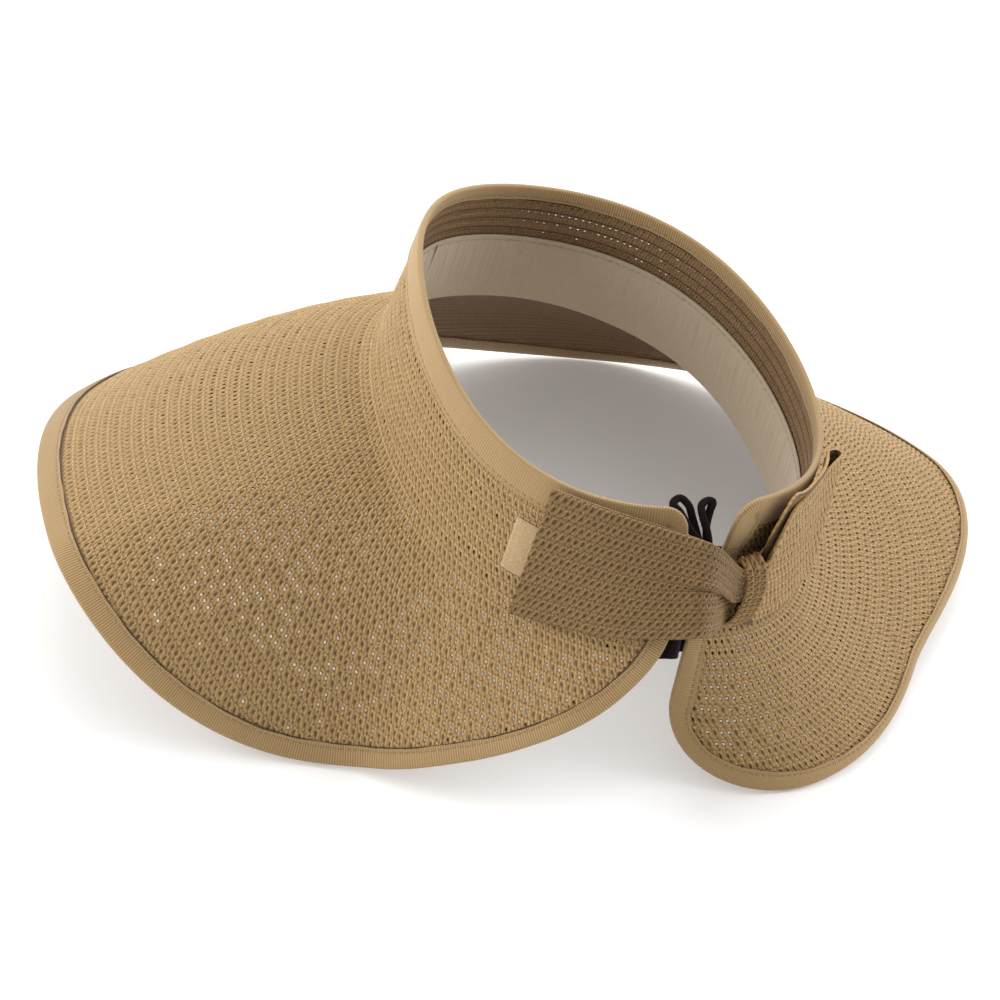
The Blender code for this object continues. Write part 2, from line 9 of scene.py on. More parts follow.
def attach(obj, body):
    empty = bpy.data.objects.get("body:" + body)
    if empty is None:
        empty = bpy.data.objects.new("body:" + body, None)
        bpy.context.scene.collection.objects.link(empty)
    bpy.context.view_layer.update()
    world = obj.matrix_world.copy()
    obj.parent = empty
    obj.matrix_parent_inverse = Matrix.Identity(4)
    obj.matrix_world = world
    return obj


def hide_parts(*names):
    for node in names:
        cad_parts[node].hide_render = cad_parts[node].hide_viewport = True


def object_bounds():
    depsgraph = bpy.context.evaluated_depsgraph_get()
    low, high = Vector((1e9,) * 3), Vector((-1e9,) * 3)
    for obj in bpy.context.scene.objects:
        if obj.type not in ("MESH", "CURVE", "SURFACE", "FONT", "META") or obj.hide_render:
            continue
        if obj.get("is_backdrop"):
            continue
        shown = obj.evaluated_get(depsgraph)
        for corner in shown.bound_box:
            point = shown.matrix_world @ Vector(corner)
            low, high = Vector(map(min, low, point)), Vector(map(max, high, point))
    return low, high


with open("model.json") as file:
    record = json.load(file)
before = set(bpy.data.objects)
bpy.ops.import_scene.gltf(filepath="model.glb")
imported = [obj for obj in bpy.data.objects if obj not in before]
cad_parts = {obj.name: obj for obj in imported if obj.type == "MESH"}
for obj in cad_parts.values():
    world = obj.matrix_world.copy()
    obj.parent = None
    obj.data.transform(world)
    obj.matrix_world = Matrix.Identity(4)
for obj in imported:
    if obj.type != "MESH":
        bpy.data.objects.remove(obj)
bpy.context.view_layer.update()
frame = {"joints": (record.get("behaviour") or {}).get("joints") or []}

MM = 0.001

# ---------------- the sheet's shape, as in the CAD, in mm

HEAD_HALF_WIDTH, HEAD_HALF_LENGTH, EGG_SHAPE = 78.0, 100.0, 0.01
CROWN_WAVES = (11.4, 0.7, -4.1, 2.5)
RIGHT_END, LEFT_END, ARC_RADIUS = -176.0, 166.5, 85.5
SHEET_HEIGHT = [
    (RIGHT_END, 132.5), (-150, 136.7), (-120, 140.9), (-80, 189.6), (-40, 189.5), (0, 162.7),
    (40, 189.5), (80, 189.6), (120, 140.0), (150, 98.5), (LEFT_END, 85.4),
]
CROWN_FLARE = [(RIGHT_END, -6.6), (-130, 1.0), (-80, 5.8), (0, 7.2), (80, 5.8), (130, 5.3), (LEFT_END, 26.2)]
BRIM_DROOP = [
    (RIGHT_END, 86.4), (-150, 57.3), (-120, 39.5), (-80, 17.6), (-40, 24.0), (0, 31.4),
    (40, 24.0), (80, 17.6), (120, 65.8), (150, 63.9), (LEFT_END, 79.8),
]
BRIM_CURL = [
    (RIGHT_END, -2.4), (-120, -7.8), (-60, 11.7), (0, 31.8), (60, 11.7), (120, 3.6), (LEFT_END, -4.0),
]
BEND_START, BEND_END = 47.0, 63.5
LEFT_CORNER, RIGHT_CORNER, TOP_CORNER = 45.0, 38.0, 9.0
STANCE = Euler((math.radians(-0.8), math.radians(-6.26), 0))

KNOT_AT, KNOT_TOP, KNOT_BOTTOM, KNOT_OFF, KNOT_TILT = -170.0, 20.5, 56.0, 9.0, 16.0
KNOT_LENGTH, KNOT_WALL, NECK_THICK, MOUTH_GAP = 9.0, 2.2, 6.4, 0.6
# Stations of the bow's two sides: (angle, top, bottom, distance outside the sheet, half thickness).
TAB_STATIONS = [
    (172.0, 12.0, 47.0, 9.8, 3.2), (164.0, 7.3, 48.5, 8.6, 3.0), (154.0, 3.0, 50.5, 7.5, 2.5),
    (144.0, 0.3, 52.5, 6.9, 1.9), (133.0, -0.3, 57.0, 6.5, 1.6),
]
WING_STATIONS = [
    (-163.0, 1.8, 60.0, 7.6, 1.9), (-157.0, 0.8, 62.0, 6.0, 1.4), (-150.0, 0.3, 63.0, 5.0, 1.2),
    (-143.0, 0.0, 63.0, 4.7, 1.1), (-137.0, 0.0, 62.0, 5.2, 1.9), (-131.5, -0.5, 61.0, 6.4, 3.7),
]

ROW = 4.87  # one row of braid, down the sheet
STITCH = 2.85  # one stitch, along a row
ACROSS = np.array([0, 0.07, 0.15, 0.23, 0.33, 0.46, 0.64, 0.82])  # points across a row, close at its chain
STRAW = 1.3  # the braid's thickness


def unit(vectors):
    return vectors / np.linalg.norm(vectors, axis=-1, keepdims=True)


def run_along(line):
    """The distance along a line of points, at each of them."""
    return np.concatenate([[0], np.cumsum(np.linalg.norm(np.diff(line, axis=0), axis=1))])


def normals(place):
    """The unit normal at each point of a grid of points."""
    return unit(np.cross(np.gradient(place, axis=0), np.gradient(place, axis=1)))


def through_stations(stations, angle):
    """A smooth curve through the stations that never overshoots them (monotone cubic)."""
    x = np.array([s[0] for s in stations], float)
    y = np.array([s[1] for s in stations], float)
    step = np.diff(x)
    rise = np.diff(y) / step
    slope = np.zeros(len(x))
    same_way = rise[1:] * rise[:-1] > 0
    near, far = 2 * step[1:] + step[:-1], step[1:] + 2 * step[:-1]
    safe = np.where(same_way, rise[1:] * rise[:-1], 1.0)
    blend = (near + far) * safe / (near * rise[1:] + far * rise[:-1] + 1e-12)
    slope[1:-1] = np.where(same_way, blend, 0)
    slope[0], slope[-1] = rise[0], rise[-1]
    a = np.clip(angle, x[0], x[-1])
    i = np.clip(np.searchsorted(x, a) - 1, 0, len(x) - 2)
    u = (a - x[i]) / step[i]
    return (
        y[i] * (1 + 2 * u) * (1 - u) ** 2
        + slope[i] * step[i] * u * (1 - u) ** 2
        + y[i + 1] * u * u * (3 - 2 * u)
        + slope[i + 1] * step[i] * u * u * (u - 1)
    )


def crown_edge(angle):
    """The crown's top edge and the level direction away from the head there."""
    a = np.radians(angle)
    egg = 1 + EGG_SHAPE * np.cos(3 * a)
    front, saddle, third, twist = CROWN_WAVES
    wave = front * np.cos(a) + saddle * np.cos(2 * a) + third * np.cos(3 * a) + twist * np.sin(2 * a)
    edge = np.stack([HEAD_HALF_WIDTH * np.sin(a) * egg, -HEAD_HALF_LENGTH * np.cos(a) * egg, wave], -1)
    out = np.stack([np.sin(a) / HEAD_HALF_WIDTH, -np.cos(a) / HEAD_HALF_LENGTH, 0 * a], -1)
    return edge, unit(out)


def middle(angle, down, straight=False):
    """Points on the sheet's middle, down millimetres along it from the crown's top edge.

    straight leaves out the bend into the brim.
    """
    angle, down = np.broadcast_arrays(np.asarray(angle, float), np.asarray(down, float))
    edge, out = crown_edge(angle)
    flare = np.radians(through_stations(CROWN_FLARE, angle))[..., None]
    level = np.radians(90 - through_stations(BRIM_DROOP, angle))[..., None]
    curl = np.radians(through_stations(BRIM_CURL, angle))[..., None] / 100
    steps = 40
    s = down[..., None] * (np.arange(steps) + 0.5) / steps
    x = np.clip((s - BEND_START) / (BEND_END - BEND_START), 0, 1)
    lean = flare + (level - flare) * x * x * (3 - 2 * x) - curl * np.maximum(s - BEND_END, 0)
    if straight:
        lean = flare + 0 * s
    away = np.sin(lean).mean(-1) * down
    fall = np.cos(lean).mean(-1) * down
    return edge + out * away[..., None] - np.stack([0 * fall, 0 * fall, fall], -1)


class Sheet:
    """The sheet's middle and its outward direction, worked out once on a net and read between."""

    FIRST, LAST, STEP = -186.0, 182.0, 0.5  # degrees
    DOWN_FIRST, DOWN_LAST, DOWN_STEP = -8.0, 204.0, 2.0  # millimetres

    def __init__(self):
        angle = np.arange(self.FIRST, self.LAST, self.STEP)[:, None]
        down = np.arange(self.DOWN_FIRST, self.DOWN_LAST, self.DOWN_STEP)[None, :]
        angle, down = np.broadcast_arrays(angle, down)
        self.place = middle(angle, down)
        along = middle(angle + 0.2, down) - middle(angle - 0.2, down)
        fall = middle(angle, down + 0.4) - middle(angle, down - 0.4)
        self.out = unit(np.cross(fall, along))

    def read(self, net, angle, down):
        x = np.clip((angle - self.FIRST) / self.STEP, 0, net.shape[0] - 1.001)
        y = np.clip((down - self.DOWN_FIRST) / self.DOWN_STEP, 0, net.shape[1] - 1.001)
        i, j = x.astype(int), y.astype(int)
        u, v = (x - i)[..., None], (y - j)[..., None]
        low = net[i, j] * (1 - u) + net[i + 1, j] * u
        high = net[i, j + 1] * (1 - u) + net[i + 1, j + 1] * u
        return low * (1 - v) + high * v

    def at(self, angle, down, off=0.0):
        """Points off millimetres outside the sheet's middle."""
        angle, down, off = np.broadcast_arrays(*(np.asarray(v, float) for v in (angle, down, off)))
        return self.read(self.place, angle, down) + self.read(self.out, angle, down) * off[..., None]

    def outward(self, angle, down):
        angle, down = np.broadcast_arrays(*(np.asarray(v, float) for v in (angle, down)))
        return self.read(self.out, angle, down)


SHEET = Sheet()


def corner_cut(distance, radius):
    """How much of the sheet's height a rounded corner takes away at this distance from an end."""
    d = np.clip(distance, 0, radius)
    return radius - np.sqrt(radius**2 - (radius - d) ** 2)


def end_distance(angle):
    end = np.where(angle >= 0, LEFT_END, -RIGHT_END)
    return np.radians(end - np.abs(angle)) * ARC_RADIUS


def top_edge(angle):
    return corner_cut(end_distance(angle), TOP_CORNER)


def brim_edge(angle):
    radius = np.where(angle >= 0, LEFT_CORNER, RIGHT_CORNER)
    return through_stations(SHEET_HEIGHT, angle) - corner_cut(end_distance(angle), radius)


def smooth_path(knots, count):
    """Evenly spread points on a Catmull-Rom curve through the knots."""
    k = np.asarray(knots, float)
    k = np.vstack([2 * k[0] - k[1], k, 2 * k[-1] - k[-2]])
    dense = []
    for a, b, c, d in zip(k, k[1:], k[2:], k[3:]):
        square, cube = 2 * a - 5 * b + 4 * c - d, 3 * b - a - 3 * c + d
        for u in np.linspace(0, 1, 24, endpoint=False):
            dense.append(0.5 * (2 * b + (c - a) * u + square * u**2 + cube * u**3))
    dense = np.array(dense + [k[-2]])
    run = run_along(dense)
    want = np.linspace(0, run[-1], count)
    return np.stack([np.interp(want, run, dense[:, i]) for i in range(dense.shape[1])], -1)


def knot_frame():
    """The knot's centre with the band's direction to the left, down along the sheet, and outward."""
    mid = (KNOT_TOP + KNOT_BOTTOM) / 2
    centre = SHEET.at(KNOT_AT, mid, KNOT_OFF)
    down = SHEET.at(KNOT_AT, KNOT_BOTTOM, KNOT_OFF) - SHEET.at(KNOT_AT, KNOT_TOP, KNOT_OFF)
    half_height = np.linalg.norm(down) / 2
    down /= 2 * half_height
    left = SHEET.at(KNOT_AT - 1, mid, KNOT_OFF) - SHEET.at(KNOT_AT + 1, mid, KNOT_OFF)
    left -= down * (left @ down)
    left /= np.linalg.norm(left)
    c, s = math.cos(math.radians(KNOT_TILT)), math.sin(math.radians(KNOT_TILT))
    left, down = left * c + down * s, down * c - left * s
    return centre, left, down, np.cross(left, down), half_height


# The frame says where the hinge is, and that places the head's frame in it.
KNOT_CENTRE, TO_LEFT, DOWN_KNOT, OUTWARD, KNOT_HALF = knot_frame()
HINGE = KNOT_CENTRE + TO_LEFT * (KNOT_LENGTH / 2 + MOUTH_GAP) + OUTWARD * NECK_THICK / 2
TURN = np.array(STANCE.to_matrix())
SHIFT = np.array(frame["joints"][0]["pos_m"]) - TURN @ (HINGE * MM)


def to_frame(points):
    """From millimetres round the head to metres in the frame."""
    return np.asarray(points) * MM @ TURN.T + SHIFT


# ---------------- materials


def arithmetic(operation, swapped=False):
    def combine(self, other):
        return self.nodes.math(operation, *((other, self) if swapped else (self, other)))

    return combine


class Wire:
    """A node's output that takes arithmetic, so that a material reads as formulas."""

    def __init__(self, nodes, socket):
        self.nodes, self.socket = nodes, socket

    __add__, __mul__, __truediv__ = arithmetic("ADD"), arithmetic("MULTIPLY"), arithmetic("DIVIDE")
    __sub__, __rsub__, __pow__ = arithmetic("SUBTRACT"), arithmetic("SUBTRACT", True), arithmetic("POWER")


class Nodes:
    """Short names for building a material's node tree."""

    def __init__(self, name):
        self.material = bpy.data.materials.new(name)
        self.material.use_nodes = True
        self.tree = self.material.node_tree
        self.shader = self.tree.nodes["Principled BSDF"]

    def new(self, kind, **sockets):
        node = self.tree.nodes.new(kind)
        for key, value in sockets.items():
            self.set(node.inputs[key.replace("_", " ")], value)
        return node

    def set(self, socket, value):
        if isinstance(value, Wire):
            value = value.socket
        if isinstance(value, bpy.types.NodeSocket):
            self.tree.links.new(value, socket)
        else:
            socket.default_value = value

    def math(self, operation, *values):
        node = self.tree.nodes.new("ShaderNodeMath")
        node.operation = operation
        for socket, value in zip(node.inputs, values):
            self.set(socket, value)
        return Wire(self, node.outputs[0])

    def fraction(self, value):
        return self.math("FRACT", value)

    def size(self, value):
        return self.math("ABSOLUTE", value)

    def sine(self, value):
        return self.math("SINE", value)

    def wave(self, turns):
        """A sine between 0 and 1 that repeats once a turn."""
        return (self.sine(turns * (2 * math.pi)) + 1.0) * 0.5

    def fall(self, distance):
        """1 at no distance, falling smoothly towards 0."""
        return self.math("POWER", 2.718, self.math("MULTIPLY", distance, -1.0))

    def hump(self, value, centre, width):
        """1 at centre, falling smoothly to 0 by about width on each side."""
        away = (value - centre) / width
        return self.fall(away * away)

    def mix(self, share, one, two):
        node = self.tree.nodes.new("ShaderNodeMix")
        node.data_type = "RGBA"
        self.set(node.inputs[0], share)
        self.set(node.inputs[6], one)
        self.set(node.inputs[7], two)
        return node.outputs[2]

    def noise(self, scale, detail=2.0, vector=None, roughness=0.5):
        node = self.new("ShaderNodeTexNoise", Scale=scale, Detail=detail, Roughness=roughness)
        if vector is None:
            vector = self.tree.nodes.new("ShaderNodeTexCoord").outputs["Object"]
        self.set(node.inputs["Vector"], vector)
        return Wire(self, node.outputs[0])

    def uv(self):
        node = self.tree.nodes.new("ShaderNodeUVMap")
        node.uv_map = "stitches"
        parts = self.new("ShaderNodeSeparateXYZ", Vector=node.outputs[0])
        return Wire(self, parts.outputs[0]), Wire(self, parts.outputs[1])

    def vector(self, x, y):
        return self.new("ShaderNodeCombineXYZ", X=x, Y=y).outputs[0]

    def random(self, x, y):
        node = self.tree.nodes.new("ShaderNodeTexWhiteNoise")
        node.noise_dimensions = "2D"
        self.set(node.inputs["Vector"], self.vector(x, y))
        return Wire(self, node.outputs[0])

    def bump(self, height, distance, strength=1.0):
        node = self.new("ShaderNodeBump", Height=height, Distance=distance, Strength=strength)
        self.set(self.shader.inputs["Normal"], node.outputs[0])

    def finish(self, color, roughness, specular=0.35, sheen=0.0):
        self.set(self.shader.inputs["Base Color"], color)
        self.set(self.shader.inputs["Roughness"], roughness)
        self.shader.inputs["Specular IOR Level"].default_value = specular
        self.shader.inputs["Sheen Weight"].default_value = sheen
        self.shader.inputs["Sheen Roughness"].default_value = 0.5
        return self.material


# Where a braid's features sit in a row, as shares of its height. The mesh and the material share these.
CHAIN_AT, GAP_AT, GAP_SLANT = 0.13, 0.44, 0.55


def toned(color, shade):
    return (*(c * s for c, s in zip(color, shade)), 1)


def straw_material(name, shade, see_through=False, wrong_side=False):
    """Twisted paper braid: a pale chain along each row, slanted strands, and gaps between them, with painted
    shade in the gaps, notches, row joins and strand grooves and a painted highlight on the chain.
    """
    n = Nodes(name)
    u, y = n.uv()
    stray = n.noise(1.0, 1.0, n.vector(u * 0.7, y * 1.3))
    u = u + (stray - 0.5) * 0.5
    fu, fv = n.fraction(u), n.fraction(y)
    luck = n.random(n.math("FLOOR", u), n.math("FLOOR", y))
    from_gap = fv - GAP_AT
    slant = from_gap * GAP_SLANT
    gap_u = (fu - 0.5 - slant) / 0.18
    gap_v = from_gap / (0.07 if wrong_side else 0.21)
    gap = n.fall((gap_u * gap_u + gap_v * gap_v) / (luck + 0.6))
    small_u = (n.fraction(u + 0.5) - 0.5) / 0.17
    small_v = (fv - 0.86) / 0.09
    small = n.fall(small_u * small_u + small_v * small_v)
    ends = n.size(fu - 0.5)
    chain = n.hump(fv, (fu - 0.5) * 0.14 + CHAIN_AT, 0.075)
    chain = chain * (1.0 - ends**3.0 * 7.5) * (luck * 0.4 + 0.6)
    between = n.hump(fv, CHAIN_AT, 0.1) * (ends**6.0 * 40.0)
    run = u - slant - 0.25
    strand = n.wave(run * 2.0)
    fibre = n.noise(1.0, 4.0, n.vector(run * 9.0, y * 6.0), 0.65) * 2.4 - 0.7
    tan = toned((0.38, 0.228, 0.089), shade)
    # deep is painted shade in the grooves between strands.
    deep = toned((0.145, 0.079, 0.027), shade)
    # pale is the paper's lighter fibres, and on the raised chain also a painted highlight.
    pale = toned((0.80, 0.555, 0.26), shade)
    # dark is near-black painted shade, laid in the gaps, the notches between chain stitches, the row joins
    # and under the wrong side's laps.
    dark = toned((0.020, 0.011, 0.004), shade)
    color = n.mix(strand, deep, tan)
    color = n.mix(n.math("MAXIMUM", fibre, 0.0) * 0.75, color, pale)
    if wrong_side:
        # Wrong side: a painted shade line under each row's lap, and a pale bead line.
        bead = n.hump(fv, 0.30, 0.05) * n.size(n.sine(u * (2 * math.pi)))
        layers = [(n.hump(fv, 0.18, 0.075) * 0.95, dark), (bead * 0.9, pale)]
    else:
        # Painted shade: near-black in the gaps, between chain stitches and at the row joins.
        layers = [
            (chain * 0.9, pale), (between * 0.8, dark), (small * 0.85, dark),
            (n.hump(fv, 0.985, 0.05) * 0.5, dark), (gap * 0.95, dark),
        ]
    for share, layer in layers:
        color = n.mix(share, color, layer)
    tint = luck * 0.14 + n.noise(30.0, 3.0) * 0.1
    color = n.mix(tint, color, toned((0.48, 0.315, 0.135), shade))
    n.bump(strand * 0.45 + fibre * 0.35 + chain * 0.8 - (gap + small * 0.6), 0.0009)
    if see_through:
        open_rows = n.hump(y, 20.0, 8.0) + n.hump(y, 2.6, 1.6)
        patchy = n.noise(14.0) * 3.0 - 0.9
        pierced = n.math("LESS_THAN", luck, open_rows * patchy)
        far = gap_u * gap_u + (from_gap / 0.12) ** 2.0
        pierced = pierced * n.math("LESS_THAN", far, 0.95)
        n.set(n.shader.inputs["Alpha"], 1.0 - pierced)
    return n.finish(color, fibre * 0.15 + 0.55, 0.35, 0.05)


def ribbon_material(name):
    """Grosgrain: fine ribs across the ribbon."""
    n = Nodes(name)
    u, y = n.uv()
    rib = n.wave(u)
    thread = n.sine(y * (2 * math.pi * 14))
    fibre = n.noise(900.0, 3.0)
    color = n.mix(rib, (0.23, 0.142, 0.056, 1), (0.44, 0.285, 0.122, 1))
    color = n.mix(n.noise(45.0) * 0.25, color, (0.55, 0.375, 0.17, 1))
    color = n.mix(fibre * 0.2, color, (0.30, 0.19, 0.085, 1))
    n.bump(rib + (thread + fibre) * 0.25, 0.0001, 0.6)
    return n.finish(color, 0.62, 0.3, 0.25)


def cloth_material(name, low, high, threads):
    """A plain weave with a slubby thread, sized in threads to the millimetre."""
    n = Nodes(name)
    u, y = n.uv()
    warp, weft = (n.sine(place * (2 * math.pi * threads)) for place in (u, y))
    weave = warp * weft * 0.5 + 0.5
    slub = n.noise(1.0, 4.0, n.vector(u * 0.5, y * 0.35), 0.6)
    color = n.mix(weave * 0.3 + slub * 0.7, low, high)
    n.bump(weave + slub * 0.7, 0.00012, 0.5)
    return n.finish(color, 0.85, 0.2, 0.3)


def elastic_material(name):
    """Black elastic: fine lengthwise cords with fuzz."""
    n = Nodes(name)
    u, y = n.uv()
    cord, stitch = n.size(n.sine(y * math.pi)), n.size(n.sine(u * math.pi + y))
    fuzz = n.noise(2500.0, 4.0, roughness=0.7)
    shade = (cord * stitch + fuzz) * 0.5
    color = n.mix(shade, (0.005, 0.0025, 0.003, 1), (0.026, 0.014, 0.016, 1))
    n.bump(shade + fuzz * 0.5, 0.0002, 0.7)
    return n.finish(color, 0.85, 0.1)


def fuzz_material(name, low, high):
    """The matted pile of hook-and-loop tape."""
    n = Nodes(name)
    loops = n.new("ShaderNodeTexVoronoi", Scale=1600.0)
    n.set(loops.inputs["Vector"], n.new("ShaderNodeTexCoord").outputs["Object"])
    pile = n.noise(1200.0, 5.0, roughness=0.7)
    share = n.math("MULTIPLY", loops.outputs["Distance"], 0.5) + pile * 0.6
    n.bump(share, 0.0003, 0.8)
    return n.finish(n.mix(share, low, high), 0.9, 0.15, 0.5)


def thread_material(name, low, high):
    n = Nodes(name)
    u, y = n.uv()
    twist = n.wave((u + y) * 3.0)
    share = twist * 0.6 + n.noise(1500.0) * 0.4
    n.bump(twist, 0.0001, 0.5)
    return n.finish(n.mix(share, low, high), 0.6, 0.3, 0.1)


TAN_THREAD = (0.20, 0.12, 0.05, 1), (0.46, 0.31, 0.15, 1)
# Colours of a thin dark strand that paints the shadow inside the brim ribbon's edge.
SHADOW_LINE_COLOURS = (0.05, 0.03, 0.017, 1), (0.14, 0.085, 0.045, 1)
PALE_THREAD = (0.30, 0.24, 0.16, 1), (0.55, 0.46, 0.33, 1)


# ---------------- meshes


def add_object(name, data):
    made = bpy.data.objects.new(name, data)
    bpy.context.scene.collection.objects.link(made)
    return made


def piece(name, points, faces, uvs, material, nodes=(), body="root", slot=None, wrong=None):
    """A mesh of quads with its stitch coordinates, riding on a body.

    wrong is the wrong side's material and which faces it covers.
    """
    mesh = bpy.data.meshes.new(name)
    mesh.vertices.add(len(points))
    mesh.vertices.foreach_set("co", np.asarray(to_frame(points), np.float32).ravel())
    mesh.loops.add(faces.size)
    mesh.loops.foreach_set("vertex_index", faces.astype(np.int32).ravel())
    mesh.polygons.add(len(faces))
    mesh.polygons.foreach_set("loop_start", np.arange(0, faces.size, 4, dtype=np.int32))
    mesh.update(calc_edges=True)
    layer = mesh.uv_layers.new(name="stitches")
    layer.data.foreach_set("uv", np.asarray(uvs, np.float32).ravel())
    mesh.shade_smooth()
    mesh.materials.append(material)
    if wrong is not None:
        mesh.materials.append(wrong[0])
        mesh.polygons.foreach_set("material_index", wrong[1].astype(np.int32))
    made = add_object(name, mesh)
    if nodes:
        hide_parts(*nodes)
    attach(made, body)
    return made


def two_faced(outer, inner, uv, keep=None):
    """Points, quads and UVs of a slab: outer and inner grids, with walls round what is kept.

    uv holds each cell's four corners. Walls have their own points, so the faces stay smooth.
    """
    rows, cols = outer.shape[:2]
    keep = np.ones((rows - 1, cols - 1), bool) if keep is None else keep
    number = np.arange(rows * cols).reshape(rows, cols)
    cell = np.stack([number[:-1, :-1], number[:-1, 1:], number[1:, 1:], number[1:, :-1]], -1)
    count = rows * cols
    quads = [cell[keep], cell[keep][:, ::-1] + count]
    uvs = [uv[keep], uv[keep][:, ::-1]]
    points = [outer.reshape(-1, 3), inner.reshape(-1, 3)]
    at = 2 * count
    padded = np.pad(keep, 1)
    sides = [
        (padded[:-2, 1:-1], 0, 1), (padded[1:-1, 2:], 1, 2),
        (padded[2:, 1:-1], 2, 3), (padded[1:-1, :-2], 3, 0),
    ]
    both = np.concatenate(points)
    for neighbour, a, b in sides:
        edge = keep & ~neighbour
        first, last = cell[edge][:, a], cell[edge][:, b]
        wall = np.stack([last, first, first + count, last + count], -1)
        points.append(both[wall.ravel()])
        quads.append(at + np.arange(wall.size).reshape(-1, 4))
        corner = uv[edge]
        uvs.append(np.stack([corner[:, b], corner[:, a], corner[:, a], corner[:, b]], 1))
        at += wall.size
    return np.concatenate(points), np.concatenate(quads), np.concatenate(uvs)


def cell_uv(u, next_u, v, next_v):
    """The UVs of each cell's four corners, for two_faced."""
    corners = (u, v), (next_u, v), (next_u, next_v), (u, next_v)
    return np.stack([np.stack(np.broadcast_arrays(*corner), -1) for corner in corners], -2)


def drop_unused(points, quads):
    """Leaves out points that no quad uses."""
    used, quads = np.unique(quads, return_inverse=True)
    return points[used], quads.reshape(-1, 4)


def braid_front(u, v):
    """How far a row's face stands out: its chain of slanted stitches, its strands, and the gaps."""
    f = u - np.floor(u)
    chain = np.exp(-(((v - CHAIN_AT - 0.14 * (f - 0.5)) / 0.085) ** 2)) * (1 - 6 * np.abs(f - 0.5) ** 3)
    back = np.clip((v - 0.24) / 0.74, 0, 1)
    body = 0.34 * np.sin(math.pi * back) ** 0.6
    from_gap = v - GAP_AT
    gap = np.exp(-(((f - 0.5 - GAP_SLANT * from_gap) / 0.2) ** 2) - (from_gap / 0.2) ** 2)
    return 0.5 * chain + body - 0.5 * gap


def braid_back(u, v):
    """The wrong side of the sheet, where each row laps over the next like a shingle."""
    lap = v - 0.40 - np.floor(v - 0.40)
    return 0.6 * np.sin(0.5 * math.pi * lap) + 0.06 * np.sin(2 * math.pi * (2 * u + 0.8 * v))


def braid(
    name, place, out, stitches, rows, material, nodes=(), body="root", keep=None, thick=STRAW, slot="straw"
):
    """Sewn braid on a surface, with a material for each side.

    place and out are grids, points across the rows by points along them. stitches gives each row's
    stitch count along it. rows is each grid line's place in rows, such as 3.15.
    """
    which = np.minimum(np.floor(rows + 1e-6).astype(int), len(stitches) - 1)
    v = rows - which
    u = stitches[which]
    outer = place + out * (thick / 2 - 0.5 + braid_front(u, v[:, None]))[..., None]
    inner = place - out * (thick / 2 - 0.35 + braid_back(u, v[:, None]))[..., None]
    row_of = which[:-1]
    top = rows[:-1] - row_of
    bottom = np.minimum(rows[1:] - row_of, 0.9999)  # just inside the row, so its floor is the row's
    cell_u = stitches[row_of]
    uv = cell_uv(cell_u[:, :-1], cell_u[:, 1:], (row_of + top)[:, None], (row_of + bottom)[:, None])
    points, quads, uvs = two_faced(outer, inner, uv, keep)
    points, quads = drop_unused(points, quads)
    one_side = uv.shape[0] * uv.shape[1] if keep is None else int(keep.sum())
    face = np.arange(len(quads))
    wrong = (material[1], (face >= one_side) & (face < 2 * one_side))
    return piece(name, points, quads, uvs, material[0], nodes, body, slot, wrong)


def row_lines(count, first=0):
    lines = (np.arange(first, first + count)[:, None] + ACROSS[None, :]).ravel()
    return np.append(lines, first + count)


TURN_ROW, LAST_ROW = 11, 39  # the first row of the brim, and one past its last
SHEET_PARTS = [  # name, first row, row after the last, pieces it is cut into, points along a row
    ("crown", 0, TURN_ROW, 2, 640), ("brim", TURN_ROW, LAST_ROW, 8, 1400),
]
TRIM, END_TRIM = 0.8, 0.6  # how far the straw stops inside its edges in mm, and its ends in degrees


def straw_sheet():
    """Crown and brim in pieces: the crown in two, the brim in sectors."""
    wide = np.linspace(RIGHT_END, LEFT_END, 3000)
    material = (
        straw_material("straw", (1.08, 1.03, 0.95), True),
        # The wrong side has its own lapped pattern, and it is the same straw toned darker for the inside and
        # underside: painted shade.
        straw_material("straw_wrong_side_painted_shade", (0.60, 0.53, 0.51), True, True),
    )
    phase = np.random.default_rng(7).random(LAST_ROW + 1)
    for part, first, last, sectors, columns in SHEET_PARTS:
        count = columns
        angle = np.linspace(RIGHT_END, LEFT_END, count)
        stitches = []
        for row in range(last):
            run = run_along(SHEET.at(wide, (row + 0.5) * ROW))
            stitches.append(np.interp(angle, wide, run) / STITCH + phase[row])
        stitches = np.array(stitches)
        rows = row_lines(last - first, first)
        down = np.broadcast_to(rows[:, None] * ROW, (len(rows), count))
        around = np.broadcast_to(angle, down.shape)
        place, out = SHEET.at(around, down), SHEET.outward(around, down)
        wobble = 0.12 * np.sin(stitches[np.minimum(rows.astype(int), last - 1)] * 0.21 + rows[:, None])
        place = place + out * wobble[..., None]
        middle_of = 0.25 * (down[:-1, :-1] + down[1:, 1:] + down[:-1, 1:] + down[1:, :-1])
        at = 0.5 * (angle[:-1] + angle[1:])
        keep = (middle_of < brim_edge(at) - TRIM) & (middle_of > top_edge(at) + TRIM)
        keep &= (at > RIGHT_END + END_TRIM) & (at < LEFT_END - END_TRIM)
        cuts = np.linspace(0, count - 1, sectors + 1).astype(int)
        for number, (low, high) in enumerate(zip(cuts, cuts[1:]), 1):
            cut, name = slice(low, high + 1), f"straw_{part}_{number}"
            nodes = ("straw_body",) if name == "straw_crown_1" else ()
            grids = place[:, cut], out[:, cut], stitches[:, cut]
            braid(name, *grids, rows, material, nodes, keep=keep[:, low:high])


# ---------------- ribbons and their stitching

BINDING_OFF = 1.05  # the ribbon's middle, outside the sheet's
RIBBON = 0.42
RIB = 1.05
SEAM_IN = 1.5  # the stitch line, in from the ribbon's edge
STITCH_LENGTH, STITCH_PITCH = 2.1, 2.9


